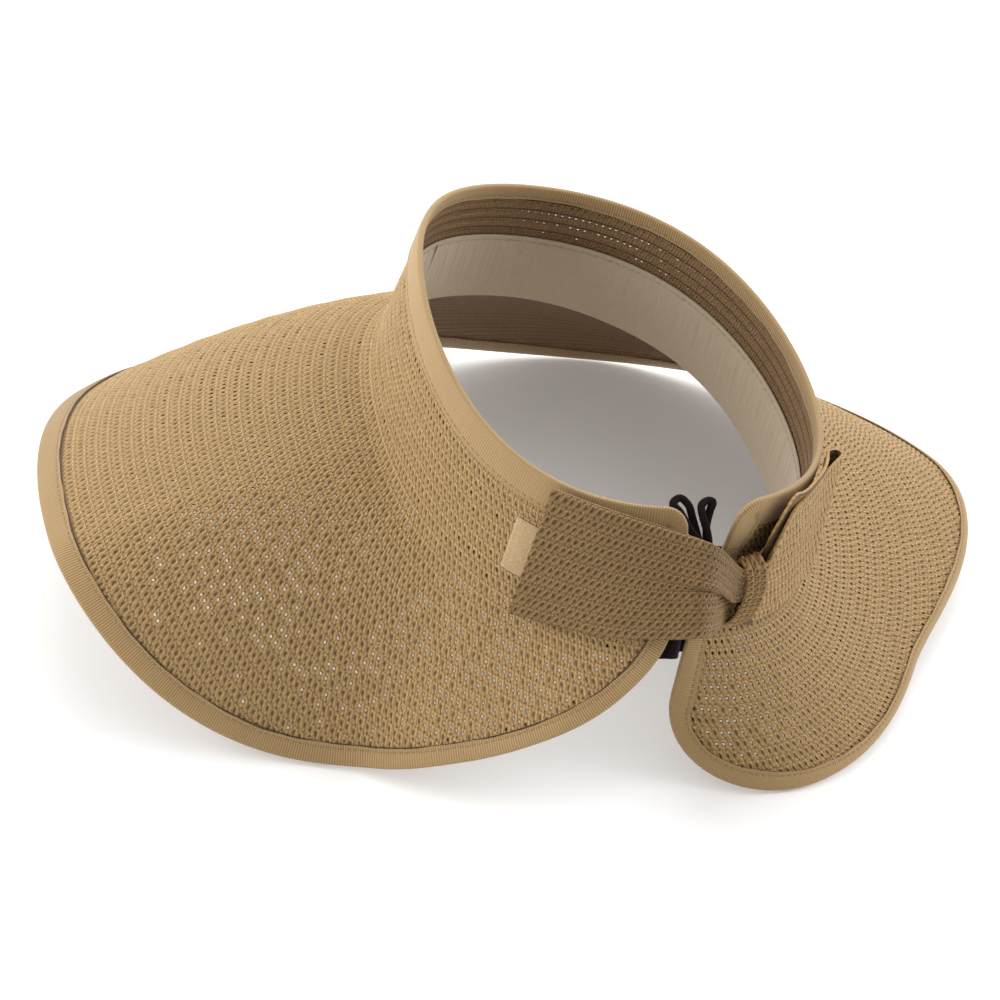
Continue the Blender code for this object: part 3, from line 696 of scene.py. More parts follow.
def edge_net(angle, down, spacing, inset=0.0):
    """Even stops along an edge of the sheet, and the (angle, down) that take one millimetre in from it.

    inset shortens it at both ends.
    """
    run = run_along(SHEET.at(angle, down))
    stops = np.linspace(inset, run[-1] - inset, int((run[-1] - inset - inset) / spacing))
    angle, down = np.interp(stops, run, angle), np.interp(stops, run, down)
    turn, fall, smooth = 0.6, 1.5, 9.0  # slopes are measured this far each way; tangents smoothed over 9 mm
    per_degree = (SHEET.at(angle + turn, down) - SHEET.at(angle - turn, down)) / (2 * turn)
    per_mm = (SHEET.at(angle, down + fall) - SHEET.at(angle, down - fall)) / (2 * fall)
    tangent = np.gradient(SHEET.at(angle, down), axis=0)
    kernel = np.hanning(int(smooth / spacing) | 1)
    kernel /= kernel.sum()
    pad = len(kernel) // 2
    tangent = np.stack([np.convolve(np.pad(c, pad, "edge"), kernel, "valid") for c in tangent.T], 1)
    inward = unit(np.cross(tangent, np.cross(per_mm, per_degree)))
    a, b, c = (per_degree**2).sum(1), (per_degree * per_mm).sum(1), (per_mm**2).sum(1)
    p, q = (per_degree * inward).sum(1), (per_mm * inward).sum(1)
    size = a * c - b * b
    return stops, angle, down, np.stack([(c * p - b * q) / size, (a * q - b * p) / size], 1)


def folded_ribbon(name, net, outside, inside, node, material):
    """Grosgrain folded over an edge, dented by its stitch line and lifting a little at its rims.

    outside is its reach on the outer face at each stop, and inside its reach on the inner face.
    """
    stops, angle, down, step = net
    seam_in = np.minimum(SEAM_IN, 0.4 * outside)
    rest = outside - seam_in - 0.6
    still = 0 * stops
    wave = 0.22 * np.sin(stops * 0.11) + 0.12 * np.sin(stops * 0.37 + 1)
    # Across the ribbon: (distance in from the edge, distance outside the sheet).
    section = [
        (outside, 0.12), (outside - 0.45 * seam_in, 0.03), (outside - seam_in, -0.16), (rest, 0.0),
        (rest * 0.75, 0.12), (rest * 0.5, 0.16), (rest * 0.25, 0.1), (0.0 * rest, 0.0),
    ]
    fold = [(-0.35 - 0.55 * math.sin(a), math.cos(a)) for a in np.linspace(0.5, math.pi - 0.5, 4)]
    back = [
        (0.3, 0.0), (inside * 0.3, 0.1), (inside * 0.6, 0.1), (inside - SEAM_IN, -0.16), (inside, 0.1),
    ]
    lines = [(d + wave * (o > 0.02) * (k < 2), BINDING_OFF + o + still) for k, (d, o) in enumerate(section)]
    lines += [(d + still, BINDING_OFF * o + still) for d, o in fold]
    lines += [(d + wave * (d == inside), -BINDING_OFF - o + still) for d, o in back]
    steps = [(angle + step[:, 0] * d, down + step[:, 1] * d, off) for d, off in lines]
    place = np.stack([SHEET.at(*line) for line in steps])
    out = normals(place)
    out *= np.sign((out[0, 0] * SHEET.outward(angle[:1], down[:1])[0]).sum())
    rib = 0.07 * np.cos(2 * math.pi * stops / RIB)
    outer = place + out * (RIBBON / 2 + rib)[None, :, None]
    inner = place - out * (RIBBON / 2)
    width = run_along(place[:, len(stops) // 2])[:, None] / 10
    uv = cell_uv(stops[:-1] / RIB, stops[1:] / RIB, width[:-1], width[1:])
    points, quads, uvs = two_faced(outer, inner, uv)
    return piece(name, points, quads, uvs, material, node, slot="ribbon")


def capsules(starts, ends, outs, radius):
    """Short threads from each start to each end, domed over outs."""
    ring = np.linspace(0, 2 * math.pi, 7)[:-1]
    flat = 0.6
    shape = [(0.0, 0.35), (0.15, 0.9), (0.5, 1.0), (0.85, 0.9), (1.0, 0.35)]  # share of length, of radius
    side = unit(np.cross(ends - starts, outs))
    rings = []
    for share, size in shape:
        centre = starts + (ends - starts) * share + outs * radius * (0.25 * math.sin(math.pi * share) - 0.1)
        turn = [centre + (side * math.cos(a) + outs * flat * math.sin(a)) * radius * size for a in ring]
        rings.append(np.stack(turn, 1))
    points = np.stack(rings, 1)
    count, rows, cols = points.shape[:3]
    one = np.arange(rows * cols).reshape(rows, cols)
    nxt = np.roll(one, -1, 1)
    cell = np.stack([one[:-1], nxt[:-1], nxt[1:], one[1:]], -1).reshape(-1, 4)
    cap = np.array([[0, 3, 2, 1], [0, 5, 4, 3]])
    cell = np.concatenate([cell, cap, cap[:, ::-1] + (rows - 1) * cols])
    quads = (cell[None] + (np.arange(count) * rows * cols)[:, None, None]).reshape(-1, 4)
    uvs = np.tile([[0, 0], [1, 0], [1, 1], [0, 1]], (len(quads), 1, 1))
    return points.reshape(-1, 3), quads, uvs


def seam(name, net, reach, off, material):
    """A line of stitches reach millimetres in from an edge, on the side that off's sign says."""
    stops, angle, down, step = net
    begin = stops[0] + np.arange(int((stops[-1] - stops[0]) / STITCH_PITCH)) * STITCH_PITCH
    columns = angle + step[:, 0] * reach, down + step[:, 1] * reach
    both = begin, begin + STITCH_LENGTH
    first, last = ([np.interp(at, stops, column) for column in columns] for at in both)
    outs = SHEET.outward(*first) * np.sign(off)
    stitches = capsules(SHEET.at(*first, off), SHEET.at(*last, off), outs, 0.3)
    piece(name, *stitches, material, slot="thread")


def strand(name, path, radius, material, nodes=(), sides=12, flat=1.0, face=(0, 0, 1), slot="thread"):
    """A closed tube along a path; flat squeezes it towards the direction face."""
    path = np.asarray(path, float)
    tangent = unit(np.gradient(path, axis=0))
    side = unit(np.cross(tangent, np.asarray(face, float)))
    top = np.cross(side, tangent)
    ring = np.linspace(0, 2 * math.pi, sides + 1)[:-1]
    points = np.stack([path + (side * math.cos(a) + top * flat * math.sin(a)) * radius for a in ring], 1)
    number = np.arange(len(path) * sides).reshape(len(path), sides)
    nxt = np.roll(number, -1, 1)
    quads = np.stack([number[:-1], number[1:], nxt[1:], nxt[:-1]], -1)
    length, round_it = run_along(path)[:, None], np.arange(sides + 1)[None] / 2
    uv = cell_uv(length[:-1], length[1:], round_it[:, :-1], round_it[:, 1:])
    quads, uv = quads.reshape(-1, 4), uv.reshape(-1, 4, 2)
    caps = []
    for row, order in ((number[0], 1), (number[-1], -1)):
        for k in range(1, sides // 2):
            caps.append([row[k - 1], row[k], row[sides - 1 - k], row[(sides - k) % sides]][::order])
    uv = np.concatenate([uv, np.zeros((len(caps), 4, 2))])
    piece(name, points.reshape(-1, 3), np.concatenate([quads, caps]), uv, material, nodes, slot=slot)


# How far the crown's ribbon reaches outside: (distance along it from that end, reach).
CROWN_OUTSIDE_LEFT = [(0, 6.3), (14, 8.0), (40, 12.5)]
CROWN_OUTSIDE_RIGHT = [(0, 7.5), (10, 10.3), (27, 10.6), (33, 12.5), (40, 12.5)]
CROWN_INSIDE, BRIM_INSIDE, BINDING_END = 5.2, 9.0, 22.0
THREAD_OFF = BINDING_OFF + 0.12
# How far the brim's ribbon reaches outside: (angle, reach).
BRIM_OUTSIDE = [
    (RIGHT_END, 6.8), (-160, 6.8), (-135, 3.4), (-70, 3.4), (-40, 8.0), (0, 8.5), (70, 8.7), (100, 8.0),
    (140, 6.2), (LEFT_END, 5.8),
]


def bindings():
    material = ribbon_material("grosgrain")
    thread = thread_material("tan_thread", *TAN_THREAD)
    # A dark strand that paints the shadow line inside the brim ribbon.
    dark = thread_material("painted_shadow_line", *SHADOW_LINE_COLOURS)
    spacing = RIB / 4
    angle = np.linspace(RIGHT_END, LEFT_END, 1500)
    up = np.linspace(BINDING_END, TOP_CORNER, 60)[:-1]
    around = np.concatenate([np.full(len(up), RIGHT_END), angle, np.full(len(up), LEFT_END)])
    net = edge_net(around, np.concatenate([up, top_edge(angle), up[::-1]]), spacing)
    from_ends = (net[0], CROWN_OUTSIDE_RIGHT), (net[0][-1] - net[0], CROWN_OUTSIDE_LEFT)
    reach = np.minimum(*(through_stations(table, run) for run, table in from_ends))
    folded_ribbon("crown_ribbon", net, reach, CROWN_INSIDE, ("crown_binding",), material)
    seam("crown_seam_outside", net, reach - SEAM_IN, THREAD_OFF, thread)
    seam("crown_seam_inside", net, CROWN_INSIDE - SEAM_IN + 0 * reach, -THREAD_OFF, thread)
    angle = np.linspace(LEFT_END, RIGHT_END, 3000)
    bottom = brim_edge(angle)
    left = np.linspace(BINDING_END, bottom[0], 60)[:-1]
    right = np.linspace(bottom[-1], BINDING_END, 120)[1:]
    around = np.concatenate([np.full(len(left), LEFT_END), angle, np.full(len(right), RIGHT_END)])
    net = edge_net(around, np.concatenate([left, bottom, right]), spacing, 0.3)
    reach = through_stations(BRIM_OUTSIDE, net[1])
    half = len(net[0]) // 2
    for number, cut in enumerate((slice(None, half + 1), slice(half, None)), 1):
        part = tuple(column[cut] for column in net)
        node = ("brim_binding",) if number == 1 else ()
        folded_ribbon(f"brim_ribbon_{number}", part, reach[cut], BRIM_INSIDE, node, material)
    seam_reach = reach - np.minimum(SEAM_IN, 0.4 * reach)
    seam("brim_seam_outside", net, seam_reach, THREAD_OFF, thread)
    seam("brim_seam_inside", net, BRIM_INSIDE - SEAM_IN + 0 * reach, -THREAD_OFF, thread)
    shown = net[1] > 20  # the painted shadow line inside the ribbon runs on the wearer's left only
    _, angle, down, step = (column[shown][::8] for column in net)
    reach = reach[shown][::8] + 0.35
    line = SHEET.at(angle + step[:, 0] * reach, down + step[:, 1] * reach, 0.7)
    strand("brim_seam_shadow", line, 0.2, dark, sides=6, face=SHEET.outward(angle, down))


# ---------------- sweatband and elastics

SWEATBAND_TOP, SWEATBAND_WIDTH, SWEATBAND_ENDS, SWEATBAND_LEAN = 24.0, 31.0, (-156.0, 147.0), 3.0
SWEATBAND_IN = 1.85  # its top, inside the sheet's middle
SWEATBAND_SEAM = SWEATBAND_TOP + 2.2


def strip(name, place, out, thick, uv_scale, material, nodes, slot, body="root"):
    """A plain woven strip: a grid with thickness, and UVs in millimetres times uv_scale."""
    along, across = run_along(place[0]) * uv_scale, run_along(place[:, 0])[:, None] * uv_scale
    uv = cell_uv(along[:-1], along[1:], across[:-1], across[1:])
    slab = two_faced(place + out * thick / 2, place - out * thick / 2, uv)
    return piece(name, *slab, material, nodes, body, slot)


def sweatband():
    """Woven strip sewn along its top, with faint puckers at the seam."""
    angle = np.linspace(*SWEATBAND_ENDS, 700)
    share = np.concatenate([[0, 0.03, 0.07], np.linspace(0.12, 0.93, 14), [0.97, 1.0]])
    top = SHEET.at(angle, np.full(len(angle), SWEATBAND_TOP), -SWEATBAND_IN)
    straight = middle(angle, SWEATBAND_TOP + SWEATBAND_WIDTH, True) - middle(angle, SWEATBAND_TOP, True)
    _, level = crown_edge(angle)
    lean = math.tan(math.radians(SWEATBAND_LEAN)) * SWEATBAND_WIDTH
    rng = np.random.default_rng(11)
    pucker = sum(np.sin(angle * f + rng.random() * 6.28) for f in (0.9, 1.7, 2.9, 4.3)) / 4
    slow = np.sin(angle * 0.13 + 1.0)
    rows = []
    for s in share:
        depth = 0.35 * pucker * math.sin(math.pi * min(1, s * 1.3)) + 0.5 * slow * s
        dent = 0.25 if 0.05 < s < 0.09 else 0.0
        rows.append(top + straight * s - level * (lean * s + depth - dent)[:, None])
    place = np.stack(rows)
    out = np.broadcast_to(-level, place.shape)
    cloth = cloth_material("sweatband_cloth", (0.41, 0.33, 0.23, 1), (0.55, 0.45, 0.325, 1), 0.8)
    made = strip("sweatband_cloth", place, out, 0.7, 1.0, cloth, ("sweatband",), "sweatband")
    thread = thread_material("pale_thread", *PALE_THREAD)
    ends = np.arange(SWEATBAND_ENDS[0] + 1, SWEATBAND_ENDS[1] - 2, 2.0)
    starts, stops = (SHEET.at(at, SWEATBAND_SEAM, -SWEATBAND_IN - 0.35) for at in (ends, ends + 1.45))
    stitches = capsules(starts, stops, -SHEET.outward(ends, SWEATBAND_TOP), 0.28)
    piece("sweatband_seam", *stitches, thread, slot="thread")
    down = np.linspace(SWEATBAND_TOP + 1, SWEATBAND_TOP + 22, 12)
    join = SHEET.at(np.full(12, 22.0), down, -SWEATBAND_IN - 0.7)
    strand("sweatband_join", join, 0.4, thread, sides=8, face=(0, 1, 0))


ELASTIC_WIDTH, ELASTIC_ENDS, ELASTIC_REACH, ELASTIC_OFF = 25.0, (-161.0, 151.0), 3.0, -3.75
ELASTIC_TOPS = (34.0, 52.0)  # at the left end and the right end


def elastic_band():
    """Corded elastic across the gap, its cords as ridges."""
    left = np.linspace(ELASTIC_ENDS[1], LEFT_END + ELASTIC_REACH, 6)
    right = np.linspace(RIGHT_END - ELASTIC_REACH, ELASTIC_ENDS[0], 6)
    rows = []
    for share in np.linspace(0, 1, 81):
        a = SHEET.at(left, ELASTIC_TOPS[0] + ELASTIC_WIDTH * share, ELASTIC_OFF)
        b = SHEET.at(right, ELASTIC_TOPS[1] + ELASTIC_WIDTH * share, ELASTIC_OFF)
        rows.append(smooth_path(np.vstack([a, b]), 90))
    place = np.stack(rows)
    out = normals(place)
    cords = 14
    ridge = 0.28 * np.abs(np.sin(np.linspace(0, cords * math.pi, 81)))[:, None]
    gather = 0.1 * np.sin(np.linspace(0, 90, 90))[None]
    place = place + out * (ridge + gather)[..., None] * 0.5
    black = elastic_material("black_elastic")
    made = strip("elastic_strap", place, out, 1.0, 0.56, black, ("elastic_band",), "elastic")


# ---------------- bow

BAND_ROWS, WRAP_ROWS = 11, 3
BAND_FRONT, BAND_BACK = 150, 70  # points along the front and the back layer
WAIST_LEAN = 4.0  # how far the waist's top leans to the right of its bottom


def station_of(station):
    """Top point, bottom point, outward direction and half thickness of the band at a station."""
    angle, top, bottom, off, half = station
    high, low = SHEET.at(angle, top, off), SHEET.at(angle, bottom, off)
    along = SHEET.at(angle + 1, (top + bottom) / 2, off) - SHEET.at(angle - 1, (top + bottom) / 2, off)
    return np.concatenate([high, low, unit(np.cross(low - high, along)), [half]])


def neck_station(along, grow=1.0, half=NECK_THICK / 2):
    """The same in the knot, along millimetres left of its middle."""
    high = (KNOT_HALF - KNOT_WALL) * grow
    centre = KNOT_CENTRE + TO_LEFT * along
    top = centre - DOWN_KNOT * high - TO_LEFT * WAIST_LEAN
    return np.concatenate([top, centre + DOWN_KNOT * high, OUTWARD, [half]])


# How far the wing's back layer keeps below its front one: (share of the length, share of the height).
WING_TUCK = [(0, 0), (0.08, 0), (0.16, -0.14), (0.28, -0.11), (0.5, -0.04), (0.85, -0.035), (1, 0)]
NO_TUCK = [(0, 0), (1, 0)]


def band(name, stations, pleat, material, nodes, body, tuck=NO_TUCK):
    """A doubled strip of braid: out along the front, round the fold at its free end, and back behind."""
    line = smooth_path(stations, BAND_FRONT)
    high, low, out, half = line[:, :3], line[:, 3:6], unit(line[:, 6:9]), line[:, 9]
    reach = half - STRAW / 2
    far = (high[-1] + low[-1]) / 2 - (high[-4] + low[-4]) / 2
    far /= np.linalg.norm(far)
    rows = row_lines(BAND_ROWS)
    v = rows[:, None] / BAND_ROWS
    s = np.linspace(0, 1, BAND_FRONT)[None]
    height, depth = pleat(v, s)
    down = (low - high)[None]
    side = high[None] + down * height[..., None] + out[None] * (reach[None] + depth)[..., None]
    bend = np.linspace(0, math.pi, 14)[1:-1]
    edge = high[-1] + (low[-1] - high[-1]) * v
    turn = (
        edge[:, None, :]
        + far * (reach[-1] * np.sin(bend))[None, :, None]
        + out[-1] * (reach[-1] * np.cos(bend))[None, :, None]
    )
    pick = np.linspace(BAND_FRONT - 1, 0, BAND_BACK).astype(int)
    lower = np.interp(s, *zip(*tuck))
    behind = high[None] + down * (v + (1 - v) * lower)[..., None] - out[None] * reach[None, :, None]
    place = np.concatenate([side, turn, behind[:, pick]], 1)
    normal = normals(place)
    normal *= np.sign((normal[40, 60] * out[60]).sum())
    run = run_along(place[len(rows) // 2]) / STITCH
    phase = np.random.default_rng(5).random(BAND_ROWS)
    braid(name, place, normal, run[None] + phase[:, None], rows, material, nodes, body)


def tab_pleat(v, s):
    """One deep pleat at the knot: the upper rows lie over the lower ones, and it opens out flat."""
    w = np.clip(1 - s / 0.62, 0, 1)
    w = w * w * (3 - 2 * w)
    folded = np.interp(v, [0, 0.40, 0.47, 0.53, 1], [0, 0.53, 0.51, 0.42, 1])
    deep = np.interp(v, [0, 0.25, 0.40, 0.46, 0.53, 0.75, 1], [0, 0.7, 1.1, -1.5, -5.0, -2.6, -0.8])
    curl = -0.9 * np.clip((v - 0.9) / 0.1, 0, 1) ** 2 - 0.9 * np.clip((0.06 - v) / 0.06, 0, 1) ** 2
    return v + w * (folded - v), w * deep + curl


def wing_pleat(v, s):
    """Soft gathers that radiate from the knot."""
    w = np.clip(1 - s / 0.7, 0, 1) ** 1.5
    gathers = 0.9 * np.sin(2 * math.pi * (3.0 * v + 0.2)) + 0.5 * np.sin(2 * math.pi * (5.0 * v + 0.4 * s))
    curl = -0.9 * np.clip((v - 0.9) / 0.1, 0, 1) ** 2
    return v + 0 * s, w * gathers - 0.6 * w + curl


def bow():
    # The bow's wrong side is the same straw toned darker: painted shade.
    wrong = straw_material("bow_wrong_side_painted_shade", (0.56, 0.49, 0.42), wrong_side=True)
    # The tab is the same straw toned darker: painted shade.
    tab_straw_painted_shade = straw_material("tab_straw_painted_shade", (0.60, 0.53, 0.43)), wrong
    # The wing is the same straw toned lighter: painted light.
    wing_straw_painted_light = straw_material("wing_straw_painted_light", (1.05, 0.97, 0.80)), wrong
    # The knot's wrap is the same straw toned darker: painted shade.
    knot_straw_painted_shade = straw_material("knot_straw_painted_shade", (0.86, 0.77, 0.64)), wrong
    mouth = KNOT_LENGTH / 2
    stations = [neck_station(mouth - 2.0), neck_station(mouth + MOUTH_GAP + 2, 1.04)]
    stations += [station_of(s) for s in TAB_STATIONS]
    band("bow_tab", stations, tab_pleat, tab_straw_painted_shade, ("closure_tab",), "tab")
    stations = [neck_station(mouth - 2.6), neck_station(-mouth), neck_station(-mouth - 3, 1.36, 2.4)]
    stations += [station_of(s) for s in WING_STATIONS]
    band("bow_wing", stations, wing_pleat, wing_straw_painted_light, ("bow_loop",), "root", WING_TUCK)
    knot(knot_straw_painted_shade)


def knot(straw):
    """A narrow strip of braid round the bow's waist, arched towards the right."""
    around = np.linspace(-math.pi, math.pi, 150)
    rows = row_lines(WRAP_ROWS)
    high = KNOT_HALF - KNOT_WALL / 2 + MOUTH_GAP
    thick = NECK_THICK / 2 + MOUTH_GAP + KNOT_WALL / 2
    c, s = np.sin(around), np.cos(around)
    up = high * np.sign(c) * np.abs(c) ** 0.8
    out = thick * np.sign(s) * np.abs(s) ** 0.8
    arch = 3.0 * (1 - (up / high) ** 2) - 1.4 + WAIST_LEAN * (1 + up / high) / 2
    across = (rows / WRAP_ROWS - 0.5) * KNOT_LENGTH
    place = (
        KNOT_CENTRE
        - DOWN_KNOT * up[None, :, None]
        + OUTWARD * out[None, :, None]
        - TO_LEFT * (arch[None] + across[:, None])[..., None]
    )
    normal = normals(place)
    normal *= np.sign((normal[8, 75] * OUTWARD).sum())
    ridge = 1.6 * np.abs(np.sin(math.pi * rows)) ** 0.7 - 0.9
    place = place + normal * ridge[:, None, None]
    run = run_along(place[8]) / STITCH
    stitches = np.stack([run, run + 0.4, run + 0.7])
    braid("bow_wrap", place, normal, stitches, rows, straw, ("bow_knot",), thick=1.1)


# ---------------- closure tapes and tack

PATCH_SPAN, PATCH_HEIGHT = (125.5, 150.0), (20.5, 43.0)


def patches():
    tape = fuzz_material("loop_tape", (0.30, 0.195, 0.09, 1), (0.58, 0.42, 0.23, 1))
    angle = np.linspace(*PATCH_SPAN, 60)
    down = np.linspace(*PATCH_HEIGHT, 40)
    around, below = np.meshgrid(angle, down)
    in_angle = np.minimum(around - PATCH_SPAN[0], PATCH_SPAN[1] - around) * 1.4
    edge = np.minimum(in_angle, np.minimum(below - PATCH_HEIGHT[0], PATCH_HEIGHT[1] - below))
    pile = 0.16 * np.random.default_rng(3).random(around.shape)
    loft = 0.55 * np.clip(edge / 1.6, 0, 1) ** 0.5 - 0.25 * np.exp(-(((edge - 1.9) / 0.5) ** 2)) + pile
    low = SHEET.at(around, below, 0.8)
    top = SHEET.at(around, below, 0.95 + loft)
    place, out = (low + top) / 2, top - low
    strip("loop_tape", place, out, 1.0, 1.0, tape, ("loop_patch",), "tape")
    hook_patch()


HOOK_SIZE, HOOK_AT, HOOK_OFF = (20.0, 22.0), (139.5, 31.0), 3.55


def hook_patch():
    """The hook tape under the tab's free end, with its rows of small hooks."""
    tape = fuzz_material("hook_tape", (0.20, 0.13, 0.06, 1), (0.50, 0.36, 0.2, 1))
    angle, at = HOOK_AT
    centre = SHEET.at(angle, at, HOOK_OFF)
    along = SHEET.at(angle + 4, at, HOOK_OFF) - SHEET.at(angle - 4, at, HOOK_OFF)
    along /= np.linalg.norm(along)
    fall = SHEET.at(angle, at + 8, HOOK_OFF) - SHEET.at(angle, at - 8, HOOK_OFF)
    fall -= along * (fall @ along)
    fall /= np.linalg.norm(fall)
    out = np.cross(fall, along)
    out *= np.sign(out @ SHEET.outward(angle, at))
    wide, high = HOOK_SIZE
    u, v = np.meshgrid(np.linspace(-0.5, 0.5, 61), np.linspace(-0.5, 0.5, 67))
    inset = np.minimum((0.5 - np.abs(u)) * wide, (0.5 - np.abs(v)) * high)
    hooks = 0.22 * (np.cos(u * wide * 2 * math.pi / 1.3) * np.cos(v * high * 2 * math.pi / 1.3) > 0.2)
    thick = 0.45 + hooks * (inset > 1.2)
    flat = centre + along * (u * wide)[..., None] + fall * (v * high)[..., None]
    low, top = flat - out * (thick - 0.35)[..., None], flat + out * 0.35
    strip("hook_tape", (low + top) / 2, top - low, 1.0, 1.0, tape, ("hook_patch",), "tape", "tab")


TACK_AT, TACK_FOOT, TACK_SHIFTS = -168.4, 0.9, (-3.9, -1.3, 1.3, 3.9)


def tack():
    """Four strands of thread that hold the knot to the crown."""
    thread = thread_material("tack_thread", *TAN_THREAD)
    mid = (KNOT_TOP + KNOT_BOTTOM) / 2
    reach = KNOT_OFF - NECK_THICK / 2 - MOUTH_GAP - KNOT_WALL
    for number, shift in enumerate(TACK_SHIFTS, 1):
        offs = TACK_FOOT, (reach + TACK_FOOT) / 2, reach
        ends = [SHEET.at(TACK_AT, mid, off) + DOWN_KNOT * shift for off in offs]
        node = ("bow_tack",) if number == 1 else ()
        strand(f"tack_{number}", ends, 0.75, thread, node, face=DOWN_KNOT)


TIE_OFF, TIE_WIDTH = -4.2, 1.55  # inside the sheet's middle, and half its width
# Where the two strands are sewn on and where they leave the sheet: (angle, down).
TIE_LEFT, TIE_RIGHT = [(158.0, 20.0), (LEFT_END - 1, 18.0)], [(-169.0, 30.0), (RIGHT_END - 1, 27.0)]
# The rest is in mm: towards the right end, back, and up, from between the two ends or from the knot.
TIE_KNOT_AT, TIE_STRAND_GAP = (0.5, 3.0, -13.5), 2.4
TIE_LOOPS = {
    "left": [
        (-0.7, 3.0, -11.5), (-1.0, 3.4, -9.9), (-5.0, -0.4, -6.5), (-8.8, -6.6, -1.0), (-11.0, -9.6, 0.8),
        (-7.6, -10.4, 2.6), (-4.6, -7.6, 0.6), (-3.4, -4.6, -3.2), (-1.1, 0.6, -10.3), (-0.9, 1.8, -11.8),
    ],
    "right": [
        (1.2, 3.0, -11.5), (1.7, 3.4, -9.9), (0.6, 1.4, -5.5), (-0.6, -1.8, -1.5), (-0.8, -4.8, 1.8),
        (1.4, -5.4, 3.6), (3.6, -4.2, 3.8), (2.9, -3.4, 0.2), (2.0, -1.6, -5.0), (2.3, 0.6, -10.1),
        (1.8, 1.8, -11.8),
    ],
}
TIE_TAIL = [(0.8, 0.0, -1.6), (1.3, 0.0, -3.4), (2.8, -0.5, -8.0), (3.6, -1.0, -12.0)]


def tie():
    """Narrow flat elastic from inside each end, tied in a small bow whose loops stand up."""
    black = elastic_material("tie_elastic")
    left_out = SHEET.at(LEFT_END - 0.5, 5.0, TIE_OFF)
    right_out = SHEET.at(RIGHT_END + 0.5, 9.0, TIE_OFF)
    across = (right_out - left_out) / np.linalg.norm(right_out - left_out)
    axes = np.array([across, (0, 1, 0), (0, 0, 1)])
    origin = 0.5 * (left_out + right_out)
    centre = origin + np.array(TIE_KNOT_AT) @ axes
    turn = np.linspace(0, 2 * math.pi, 25)[:-1]
    for number, (shift, lean) in enumerate(((-0.9, 0.5), (0.9, -0.5)), 1):
        ring = np.stack([shift + lean * np.sin(turn), 1.5 * np.cos(turn), 1.75 * np.sin(turn)], 1)
        ring = centre + np.vstack([ring, ring[:1]]) @ axes
        node = ("tie_knot",) if number == 1 else ()
        strand(f"tie_wrap_{number}", ring, 0.95, black, node, face=across, flat=0.9, slot="elastic")
    routes = {
        "tie_strand_left": [SHEET.at(*at, TIE_OFF) for at in TIE_LEFT] + [centre - across * TIE_STRAND_GAP],
        "tie_strand_right": [SHEET.at(*at, TIE_OFF) for at in TIE_RIGHT] + [centre + across * TIE_STRAND_GAP],
        "tie_loop_left": origin + np.array(TIE_LOOPS["left"]) @ axes,
        "tie_loop_right": origin + np.array(TIE_LOOPS["right"]) @ axes,
        "tie_tail_left": centre + (np.array(TIE_TAIL) * (-1, 1, 1)) @ axes,
        "tie_tail_right": centre + np.array(TIE_TAIL) @ axes,
    }
    look = {"face": (0.55, 0.6, 0.2), "flat": 0.72, "slot": "elastic"}
    for name, route in routes.items():
        strand(name + "_elastic", smooth_path(route, 60), TIE_WIDTH, black, (name,), **look)


# ---------------- camera, light and floor


# The camera stands where the photo was taken from: its axes and aim round the head.
CAMERA_BACK, CAMERA_RIGHT = (0.5176, 0.6734, 0.5279), (-0.8527, 0.4567, 0.2535)
CAMERA_UP, CAMERA_CENTRE = (-0.0704, -0.5814, 0.8106), (0, 0, -57.0)
CAMERA_SHIFT, CAMERA_AWAY, FOCAL_LENGTH = (0.0316, 0.0152), 1.815, 164.4  # metres, metres, mm
FLOOR_REACH, FLOOR_GAP, FLOOR_GLOW = 6.0, 0.0006, 0.18
SKY_TOWARDS, SKY_FADE = (0.55, 0.82, -0.15), (-0.9, 0.9, 1.5, 0.3)
LAMPS = [  # name, place, size, power
    ("top_light", (-0.35, -0.9, 1.35), 1.2, 7.5),
    ("left_light", (1.25, -0.4, 0.6), 0.9, 12.5),
    ("right_light", (-1.2, 0.5, 0.9), 0.9, 8.5),
]


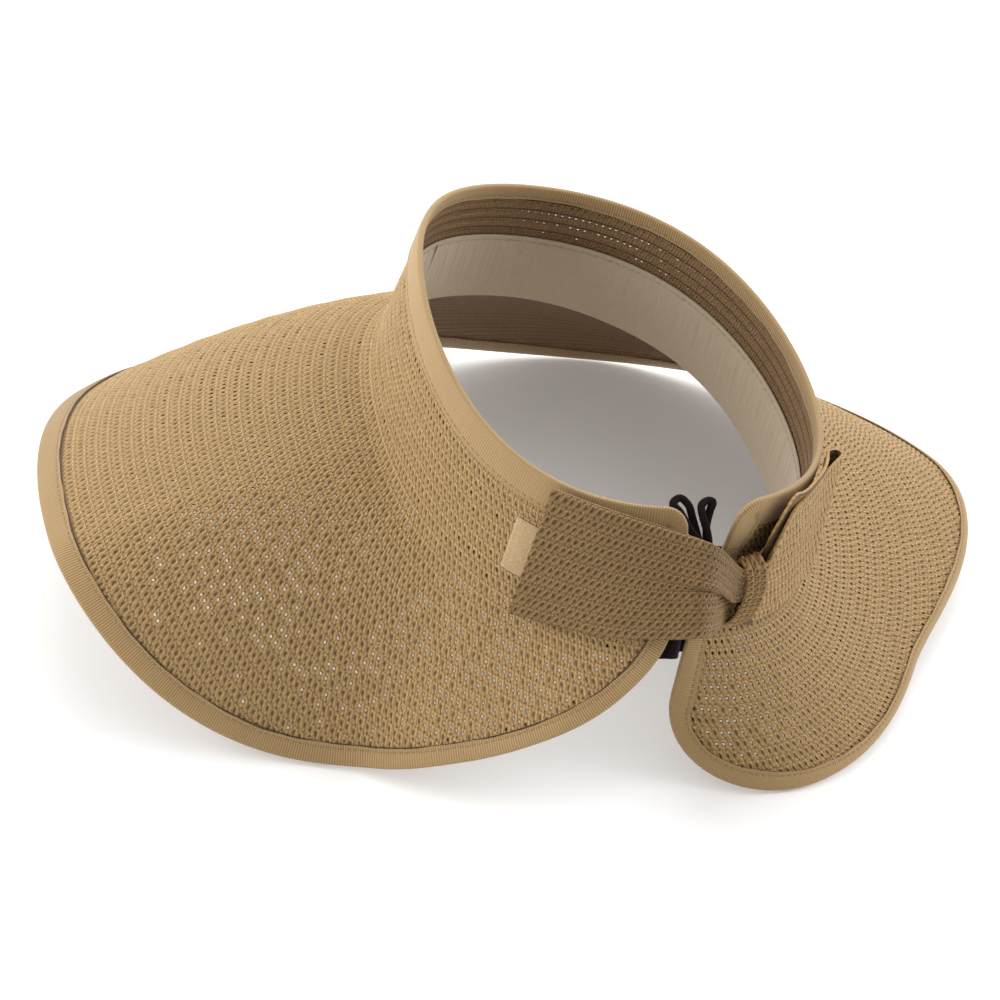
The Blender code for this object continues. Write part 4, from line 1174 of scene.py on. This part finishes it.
def camera():
    back, right, up = (TURN @ np.array(axis) for axis in (CAMERA_BACK, CAMERA_RIGHT, CAMERA_UP))
    centre = to_frame(CAMERA_CENTRE)
    aim = centre - right * CAMERA_SHIFT[0] - up * CAMERA_SHIFT[1]
    eye = centre + back * CAMERA_AWAY
    away = unit(eye - aim)
    side = unit(np.cross(up, away))
    lens = bpy.data.cameras.new("camera")
    lens.lens = FOCAL_LENGTH
    made = add_object("camera", lens)
    turned = Matrix(np.stack([side, np.cross(away, side), away], 1).tolist()).to_4x4()
    made.matrix_world = Matrix.Translation(Vector(eye)) @ turned
    bpy.context.scene.camera = made


def floor():
    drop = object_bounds()[0].z - FLOOR_GAP
    mesh = bpy.data.meshes.new("floor")
    corners = [(x * FLOOR_REACH, y * FLOOR_REACH, drop) for x, y in ((-1, -1), (1, -1), (1, 1), (-1, 1))]
    mesh.from_pydata(corners, [], [(0, 1, 2, 3)])
    n = Nodes("floor")
    mesh.materials.append(n.finish(n.mix(n.noise(3.0), (0.86, 0.86, 0.86, 1), (0.9, 0.9, 0.9, 1)), 0.9, 0.1))
    n.shader.inputs["Emission Color"].default_value = (1, 1, 1, 1)
    n.shader.inputs["Emission Strength"].default_value = FLOOR_GLOW
    add_object("floor", mesh)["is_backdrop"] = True


def light():
    world = bpy.data.worlds.new("studio")
    world.use_nodes = True
    tree = world.node_tree
    place = tree.nodes.new("ShaderNodeTexCoord").outputs["Generated"]
    dot = tree.nodes.new("ShaderNodeVectorMath")
    dot.operation = "DOT_PRODUCT"
    tree.links.new(place, dot.inputs[0])
    dot.inputs[1].default_value = TURN @ np.array(SKY_TOWARDS)
    fade = tree.nodes.new("ShaderNodeMapRange")
    tree.links.new(dot.outputs["Value"], fade.inputs["Value"])
    for key, value in zip(("From Min", "From Max", "To Min", "To Max"), SKY_FADE):
        fade.inputs[key].default_value = value
    tree.links.new(fade.outputs[0], tree.nodes["Background"].inputs[1])
    tree.nodes["Background"].inputs[0].default_value = (1, 1, 1, 1)
    bpy.context.scene.world = world
    for name, place, size, power in LAMPS:
        lamp = bpy.data.lights.new(name, "AREA")
        lamp.size, lamp.energy = size, power
        made = add_object(name, lamp)
        made.location = place
        made.rotation_euler = (-Vector(place)).to_track_quat("-Z", "Y").to_euler()
    bpy.context.scene.view_settings.view_transform = "Standard"


def build():
    straw_sheet()
    bindings()
    sweatband()
    elastic_band()
    bow()
    patches()
    tie()
    tack()
    camera()
    floor()
    light()


build()
